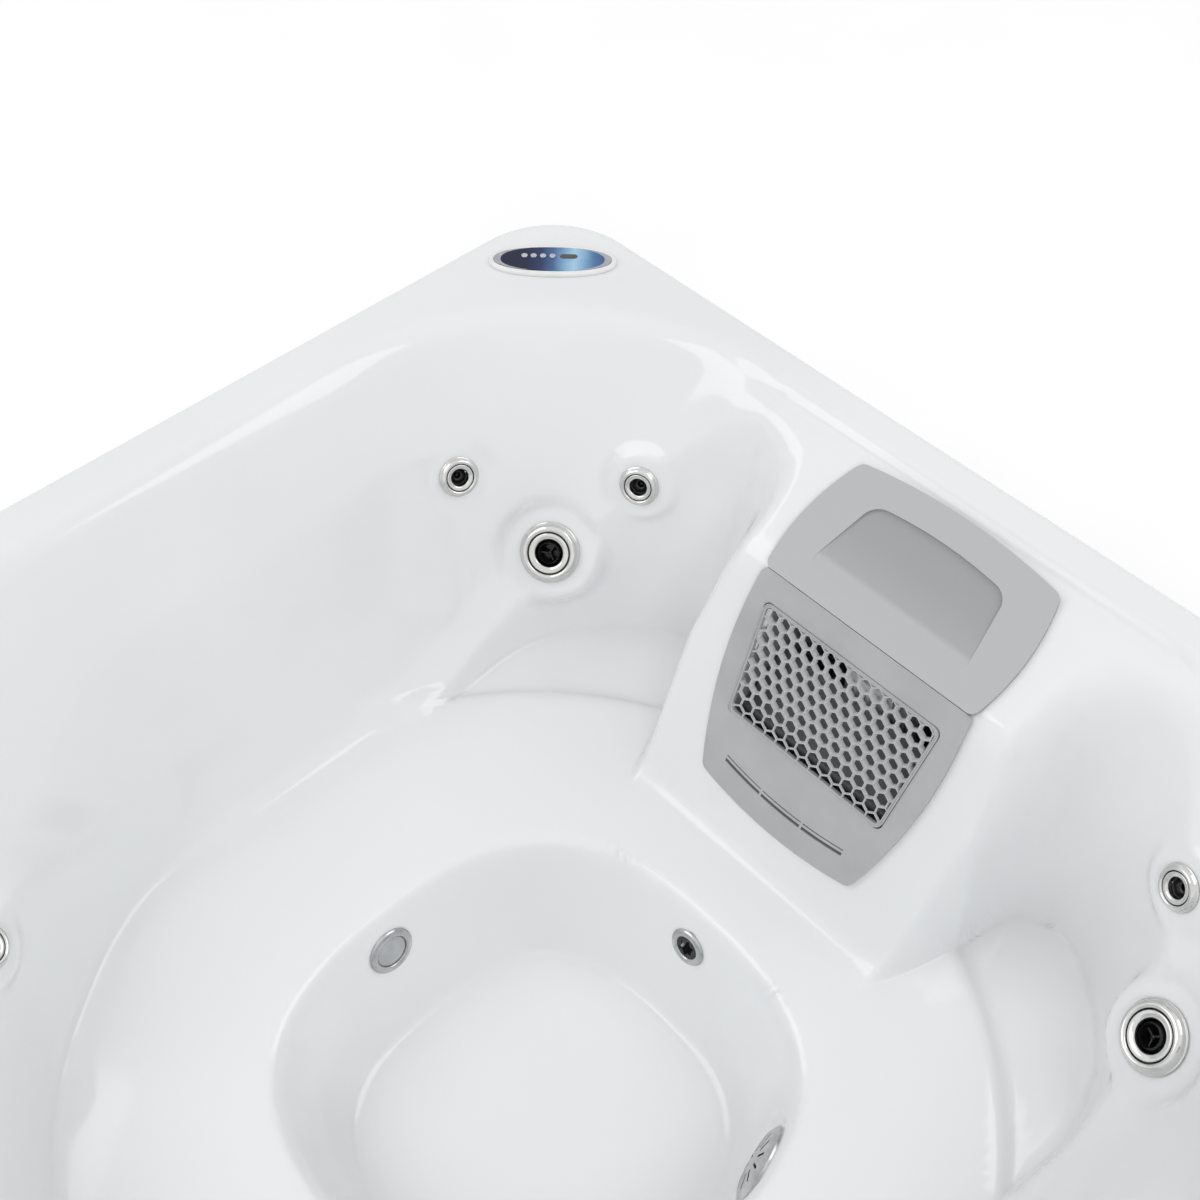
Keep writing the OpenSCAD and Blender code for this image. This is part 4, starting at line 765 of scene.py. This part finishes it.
# Rolled bead round the honeycomb: distance outside its outline and height over the plate's face
beadProfile = [(-5, -5.5), (-5, 0.8), (-4.3, 1.6), (-3.3, 1.4), (-2.9, 0.7), (-2.3, 0.7),
               (-1.9, 1.6), (-1.3, 2.3), (-0.7, 2.2), (-0.3, 1.0), (-0.3, -5.5)]
# The lid's grey from just under its face down to the finger recess's floor, darker with depth:
# painted shade in the recess
lidPaintedShade = dict(face=-0.5, floor=-4.3, stops=[(0.02, "b9babb"), (0.1, "a9aaab"), (0.5, "a2a3a4"),
                                               (1.0, "9fa0a1")])


def hexRings(centres, inner, outer, deep, high):
    # each cell is a six-sided tube: corners at 30 + 60k degrees on an inner and an outer radius,
    # from the front level down to the cell's own depth
    angle = 30 + 60 * np.arange(6)
    corner = np.stack([cosine(angle), sine(angle)], -1)
    radius = np.array([inner, inner, outer, outer])
    flat = centres[:, None, None] + corner[None, :, None] * radius[None, None, :, None]
    level = high - deep[:, None, None] * np.array([0, 1, 1, 0])
    points = np.concatenate([flat, np.broadcast_to(level, flat.shape[:3])[..., None]], -1)
    faces = gridFaces(6, 4, True, True)[None] + 6 * 4 * np.arange(len(centres))[:, None, None]
    return points.reshape(-1, 3), faces.reshape(-1, 4)


def depthFinish(name, origin, tilt, high, low, stops):
    # the cover's grey, changed with the distance in mm from the cover's face, which lies at origin
    # and is tilted about the x axis: painted light on the honeycomb's walls and painted shade in the
    # lid's finger recess
    s = finishes["cover_grey"]
    material, tree, shader, place = startFinish(name, s["look"])
    height = measured(tree, place, origin / 1000, (-tilt, 0, 0), 0.001, "Z")
    depth = spread(tree, height, 0, 1, high, low)
    tree.links.new(ramp(tree, depth, stops), shader.inputs["Base Color"])
    roughen(tree, shader, place, s)
    return material


def coverFinishes():
    # painted light: the honeycomb's walls are paler than its front edges; painted shade: the lid's
    # finger recess darkens with its depth
    faces = [(onPlate, tub["plateTilt"]), (onLid, tub["lidTilt"])]
    plate, lid = [(at(np.zeros(1), np.zeros(1), 0)[0], tilt) for at, tilt in faces]
    finish["honeycomb"] = depthFinish("honeycomb", *plate, grille["level"], -grille["paintedLightFrom"],
                                      [(0.3, grille["edge"]), (1.0, grille["side"])])
    finish["lid_grey_painted_shade"] = depthFinish("lid_grey_painted_shade", *lid, *lidPaintedShade.values())


coverFinishes()


def makeGrille():
    # hexagons in rows, every second row half a pitch along: x = (i + half) pitch, s = row · pitch
    # · √3 / 2, cut off along the outline's four sides, and a bead swept round it
    g = grille
    pitch = g["cell"] + g["wall"]
    rows = int((g["foot"] - g["top"]) / (pitch * np.sqrt(3) / 2)) + 2
    columns = int(2 * g["halfTop"] / pitch) + 3
    j, i = np.meshgrid(np.arange(rows), np.arange(columns) - columns // 2, indexing="ij")
    x = (i + (j % 2) / 2) * pitch
    s = g["top"] + g["rim"] + g["cell"] / 2 + (j - 1) * pitch * np.sqrt(3) / 2
    centres = np.stack([x.ravel(), s.ravel()], 1)
    scale = 1 / cosine(30)
    deep = mix(g["deep"], g["footDeep"], ease(*g["shallow"], centres[:, 1]))
    inner, outer = g["cell"] / 2 * scale, (pitch / 2 + g["overlap"]) * scale
    cell = hexRings(centres, inner, outer, deep, g["level"])
    mesh = bpy.data.meshes.new("honeycomb")
    mesh.from_pydata((onPlate(*cell[0].T) / 1000).tolist(), [], cell[1].tolist())
    work = bmesh.new()
    work.from_mesh(mesh)
    corners = np.array([(-g["halfTop"], g["top"]), (g["halfTop"], g["top"]),
                        (g["halfFoot"], g["foot"]), (-g["halfFoot"], g["foot"])], float)
    edges = np.roll(corners, -1, 0) - corners
    sides = np.stack([edges[:, 1], -edges[:, 0]], 1)
    sides /= np.linalg.norm(sides, axis=1, keepdims=True)
    origin = onPlate(np.zeros(1), np.zeros(1), 0)[0]
    for corner, side in zip(corners - sides * g["cutOut"], sides):
        point = onPlate(corner[:1], corner[1:], 0)[0]
        normal = onPlate(side[:1], side[1:], 0)[0] - origin
        everything = list(work.verts) + list(work.edges) + list(work.faces)
        cut = bmesh.ops.bisect_plane(work, geom=everything, plane_co=point / 1000, plane_no=normal,
                                     clear_outer=True)
        rim = [item for item in cut["geom_cut"] if isinstance(item, bmesh.types.BMEdge)]
        bmesh.ops.holes_fill(work, edges=rim, sides=0)
    work.to_mesh(mesh)
    work.free()
    tidyMesh(mesh, recalc=False)
    dress(mesh, "filter_honeycomb", "honeycomb", "tub", ["honeycomb_grille"],
          g["crease"])
    path = roundCorners(corners, g["frameR"], 8)
    bead = roundCorners(beadProfile, g["beadEdge"], 3)
    ring, faces = sweepRing(path, outwardNormals(path), bead)
    addPiece("filter_frame_bead", [(onPlate(*ring.T), faces)], "cover_grey", "tub")
    print("honeycomb of", len(centres), "cells made")


makeGrille()

# Dark grey floors in the two slots that follow the front plate's bowed foot: painted shade, a dark
# sheet standing for the shade inside the slots
slots = dict(places=(251, 256), widths=(1.6, 4.4), ends=(-94, -32, 32, 94), endGap=1.6, sideGap=0.05,
             bow=14, footHalf=118, top=-2.2, foot=-5.8, steps=12)


def makeSlotFloors():
    # a four-cornered section carried across the plate: s = place - bow (x / half foot)² + its share
    # of the slot's width
    parts = []
    n = slots["steps"]
    for place, width in zip(slots["places"], slots["widths"]):
        low, high = slots["sideGap"], width - slots["sideGap"]
        section = np.array([(low, slots["foot"]), (high, slots["foot"]), (high, slots["top"]),
                            (low, slots["top"])])
        for start, end in zip(slots["ends"][:-1], slots["ends"][1:]):
            x = np.linspace(start + slots["endGap"], end - slots["endGap"], n)[:, None]
            s = place - slots["bow"] * (x / slots["footHalf"]) ** 2 + section[:, 0]
            points = onPlate(x, s, section[:, 1]).reshape(-1, 3)
            caps = np.array([[0, 1, 2, 3], [4 * n - 1, 4 * n - 2, 4 * n - 3, 4 * n - 4]])
            parts.append((points, np.concatenate([gridFaces(n, 4, False, True), caps])))
    # dark grey: painted shade for the inside of the slots
    addPiece("plate_slot_painted_shade", parts, "flap_grey", "tub")
    print("slot floors made")


makeSlotFloors()

# Control panel: oval bezel on the corner pad, crescents at the overlay's ends

panel = dict(inset=98, turn=45, length=167, width=62, faceIn=6, power=0.9, cloud=0.06, clouds=60,
             grain=1800, grainDepth=0.00001, look={"Roughness": 0.42, "Specular IOR Level": 0.2},
             stops=[(0.32, "20243f"), (0.44, "2d3c62"), (0.54, "4a6a98"), (0.63, "86aed0"),
                    (0.7, "a9cfe8"), (0.77, "8ab4d6"), (0.86, "5479a6"), (0.97, "33486f")])
# Bezel from its foot to its inner edge: inset and height of each ring
bezelRings = [(1.2, 0), (0.2, 0.6), (0, 1.4), (0, 3.2), (0.5, 4.6), (1.6, 5.6), (3, 6), (4.8, 6),
              (5.6, 5.9), (5.9, 5.6), (5.9, 5.0), (10.5, 5.0), (10.7, 1.4)]
# Crescent's section: share of the way from its outer to its inner curve, and height
crescent = dict(reach=66, steps=45, broad=9, clear=0.8, sideClear=0.9,
                shares=(0, 0.04, 0.96, 1, 0.5), heights=(6.0, 6.25, 6.25, 6.0, 5.8))


def oval(length, width, angle):  # a superellipse, a little squarer than an ellipse
    c, s = cosine(angle), sine(angle)
    return np.stack([length / 2 * np.sign(c) * abs(c) ** panel["power"],
                     width / 2 * np.sign(s) * abs(s) ** panel["power"]], -1)


def onPanel(points):  # turned to lie along the corner's diagonal, and put on the corner pad
    x, y, z = points[..., 0], points[..., 1], points[..., 2]
    c = cosine(panel["turn"])
    return np.stack([half - panel["inset"] + c * (x - y), panel["inset"] - half + c * (x + y),
                     rimZ - tub["padDrop"] + z], -1)


def ovalStack(rings, sides=120):
    # ring j is an oval shrunk by its inset, at its height; a point in the middle closes either end
    angle = np.linspace(0, 360, sides, endpoint=False) + 360 / sides / 2
    stack = [np.concatenate([oval(panel["length"] - 2 * i, panel["width"] - 2 * i, angle),
                             np.full((sides, 1), z)], 1) for i, z in rings]
    middles = [np.tile([0.0, 0.0, rings[k][1]], (sides, 1)) for k in (0, -1)]
    points = np.stack([middles[0]] + stack + [middles[1]], 1)
    return points.reshape(-1, 3), gridFaces(sides, points.shape[1], True)


def makePanel():
    # the bezel is a stack of ovals; a crescent's section runs from a wide oval to a shorter one,
    # carried through the angles at either end
    points, faces = ovalStack(bezelRings)
    addPiece("panel_bezel_rounded", [(onPanel(points), faces)], "panel_white", "tub",
             ["panel_bezel"])
    long, wide = (panel[size] - 2 * panel["faceIn"] for size in ("length", "width"))
    long, broad, n = long - crescent["clear"], crescent["broad"], crescent["steps"]
    t = np.array(crescent["shares"])[None, :, None]
    high = np.array(crescent["heights"])[None, :, None]
    count = len(crescent["shares"])
    parts = []
    for turn in (0, 180):
        angle = np.linspace(-crescent["reach"], crescent["reach"], n) + turn
        outer = oval(long, wide - crescent["clear"], angle)
        inner = oval(long - 2 * broad, wide - crescent["sideClear"], angle)
        flat = outer[:, None] * (1 - t) + inner[:, None] * t
        points = np.concatenate([flat, np.broadcast_to(high, flat.shape[:2] + (1,))], -1)
        last = (n - 1) * count
        caps = np.array([[0, 1, 2, 3], [last + 3, last + 2, last + 1, last]])
        faces = np.concatenate([gridFaces(n, count, False, True), caps])
        parts.append((onPanel(points.reshape(-1, 3)), faces))
    addPiece("panel_crescents", parts, "panel_silver", "tub")
    print("control panel made")


def overlayFinish():
    # navy at one end, a pale glow round the display and dusk blue at the other end
    material, tree, shader, place = startFinish("panel_blue", panel["look"])
    centre = onPanel(np.zeros(3)) / 1000
    x = measured(tree, place, centre, (0, 0, panel["turn"]), panel["length"] / 1000, "X")
    along, cloud = spread(tree, x, 1, 0, -0.5, 0.5), noise(tree, place, panel["clouds"], 3)
    mixed = combine(tree, "MULTIPLY_ADD", {1: panel["cloud"]}, {0: cloud, 2: along})
    tree.links.new(ramp(tree, mixed, panel["stops"]), shader.inputs["Base Color"])
    bump(tree, shader, noise(tree, place, panel["grain"], 2), panel["grainDepth"])
    return material


finish["panel_blue"] = overlayFinish()
makePanel()

# CAD pieces kept in their shape, with their sharp edges rounded: width in mm, crease angle, finish
softened = {
    # the lid's finish carries painted shade that darkens its finger recess
    "filter_lid": (1.1, 30, "lid_grey_painted_shade"), "filter_plate": (1.1, 30, "cover_grey"),
    "filter_housing": (1.2, 40, "housing_grey"), "weir_flap": (0.8, 40, "flap_grey"),
    "weir_pin": (0.3, 40, "stainless"), "filter_cartridge": (0.5, 25, "filter_paper"),
    "jet_fittings": (0.5, 40, "dark_plastic"), "footwell_housings": (0.5, 40, "dark_plastic"),
    "return_insert": (0.3, 40, "black_plastic"), "suction_covers": (0.5, 40, "stainless"),
    "panel_overlay": (0.15, 40, "panel_blue"), "panel_window": (0.3, 40, "display"),
    "panel_housing": (1.5, 40, "dark_plastic"),
    **{"panel_button_" + str(k): (0.6, 40, "button_silver") for k in range(1, 5)},
    "base_pan": (2, 40, "dark_plastic"), "corner_trims": (1.5, 40, "dark_plastic"),
    "panel_back": (1.2, 40, "planks_x"),
    "panel_front": (1.2, 40, "planks_x"), "panel_left": (1.2, 40, "planks_y"),
    "panel_right": (1.2, 40, "planks_y"), "panel_screws": (0.5, 40, "stainless"),
    "frame_posts": (1.5, 40, "timber_up"), "frame_rails": (1.5, 40, "timber_rail"),
    "insulation_sheets": (1.5, 40, "foam"), "well_support": (2, 40, "foam"),
    "manifolds": (1, 40, "white_pipe"), "water_hoses": (0.4, 60, "hose"),
    "pump_volute": (1.5, 40, "black_plastic"), "pump_motor": (0.6, 40, "motor_paint"),
    "pump_rotor": (0.5, 40, "rotor_steel"), "suction_pipes": (0.4, 60, "white_pipe"),
    "heater_tube": (0.4, 40, "stainless"), "heater_nuts": (1.2, 30, "white_pipe"),
    "control_box": (1.2, 40, "dark_plastic"), "control_box_lid": (1.5, 40, "black_plastic"),
    "cable_gland": (0.8, 30, "black_plastic"), "return_pipes": (0.4, 60, "white_pipe"),
    "drain_body": (0.6, 40, "white_pipe"), "drain_cap": (0.9, 25, "white_pipe"),
}
softening = dict(flatWithin=0.6, segments=2)


def soften(node, width, crease, look):
    # the node's own mesh, merged and its flat parts joined, with a bevel of the width on each edge
    # that bends more than the crease angle
    mesh = nodes[node].data.copy()
    tidyMesh(mesh, recalc=False, dissolve=softening["flatWithin"])
    piece = dress(mesh, node + "_finished", look, bodyOf[node], [node], crease)
    edge = piece.modifiers.new("edge", "BEVEL")
    edge.width = width / 1000
    edge.segments = softening["segments"]
    edge.limit_method = "ANGLE"
    edge.angle_limit = np.radians(crease)
    edge.harden_normals = True


for node, (width, crease, look) in softened.items():
    soften(node, width, crease, look)
print("softened", len(softened), "pieces")

# Camera, floor and light, in metres; a lamp has a place, a size, a power, and whether it is mirrored

view = dict(place=(-0.617, 0.458, 2.040), down=49.37, heading=(0.728, -0.686), lens=48, sensor=36)
camera = bpy.data.objects.new("camera", bpy.data.cameras.new("camera"))
camera.data.lens = view["lens"]
camera.data.sensor_width = view["sensor"]
camera.location = view["place"]
camera.rotation_euler = (np.radians(90 - view["down"]), 0,
                         np.arctan2(-view["heading"][0], view["heading"][1]))
bpy.context.scene.collection.objects.link(camera)
bpy.context.scene.camera = camera

studio = dict(white="ffffff", floorSize=14, floorLight="e9e9ea", floorDark="e6e6e7",
              floorPatch=3, floorRough=0.7, floorGlow=0.35, sky=0.61, aim=(0, 0, 0.5),
              lamps=(((-1.6, -2.4, 3.6), 2.6, 30, True), ((2.4, 1.8, 3.4), 3.0, 38, True),
                     ((-2.6, 2.2, 3.2), 1.6, 38, False)))


def seenDirectly(tree):  # 1 for rays from the camera and for what metal and glass show
    rays = tree.nodes.new("ShaderNodeLightPath").outputs
    total = rays["Is Camera Ray"]
    for output in ("Is Glossy Ray", "Is Transmission Ray"):
        total = combine(tree, "MAXIMUM", {}, {0: total, 1: rays[output]})
    return total


def makeStudio():  # a white room that lights less than it shows, three lamps, and a floor
    white = linear(studio["white"])
    world = bpy.data.worlds.new("studio")
    bpy.context.scene.world = world
    world.use_nodes = True
    tree = world.node_tree
    light = tree.nodes["Background"]
    light.inputs["Strength"].default_value = studio["sky"]
    light.inputs["Color"].default_value = white
    shown = addNode(tree, "Background", {"Strength": 1, "Color": white}, {})
    choose = addNode(tree, "MixShader", {}, {0: seenDirectly(tree), 1: light.outputs[0],
                                             2: shown.outputs[0]})
    tree.links.new(choose.outputs[0], tree.nodes["World Output"].inputs[0])
    for place, size, power, mirrored in studio["lamps"]:
        lamp = bpy.data.objects.new("softbox", bpy.data.lights.new("softbox", "AREA"))
        lamp.data.size = size
        lamp.data.energy = power
        lamp.location = place
        lamp.visible_glossy = mirrored
        towards = Vector(studio["aim"]) - lamp.location
        lamp.rotation_euler = towards.to_track_quat("-Z", "Y").to_euler()
        bpy.context.scene.collection.objects.link(lamp)
    mesh = bpy.data.meshes.new("floor")
    reach = studio["floorSize"] / 2
    mesh.from_pydata([(-reach, -reach, 0), (reach, -reach, 0), (reach, reach, 0),
                      (-reach, reach, 0)], [], [(0, 1, 2, 3)])
    floor = bpy.data.objects.new("floor", mesh)
    bpy.context.scene.collection.objects.link(floor)
    look = {"Roughness": studio["floorRough"], "Emission Color": white}
    material, tree, shader, place = startFinish("floor", look)
    clouds = noise(tree, place, studio["floorPatch"], 2)
    tone = ramp(tree, clouds, [(0.3, studio["floorDark"]), (0.7, studio["floorLight"])])
    tree.links.new(tone, shader.inputs["Base Color"])
    glow = combine(tree, "MULTIPLY", {1: studio["floorGlow"]}, {0: seenDirectly(tree)})
    tree.links.new(glow, shader.inputs["Emission Strength"])
    mesh.materials.append(material)


makeStudio()
bpy.context.scene.view_settings.view_transform = "Standard"
print("studio made")
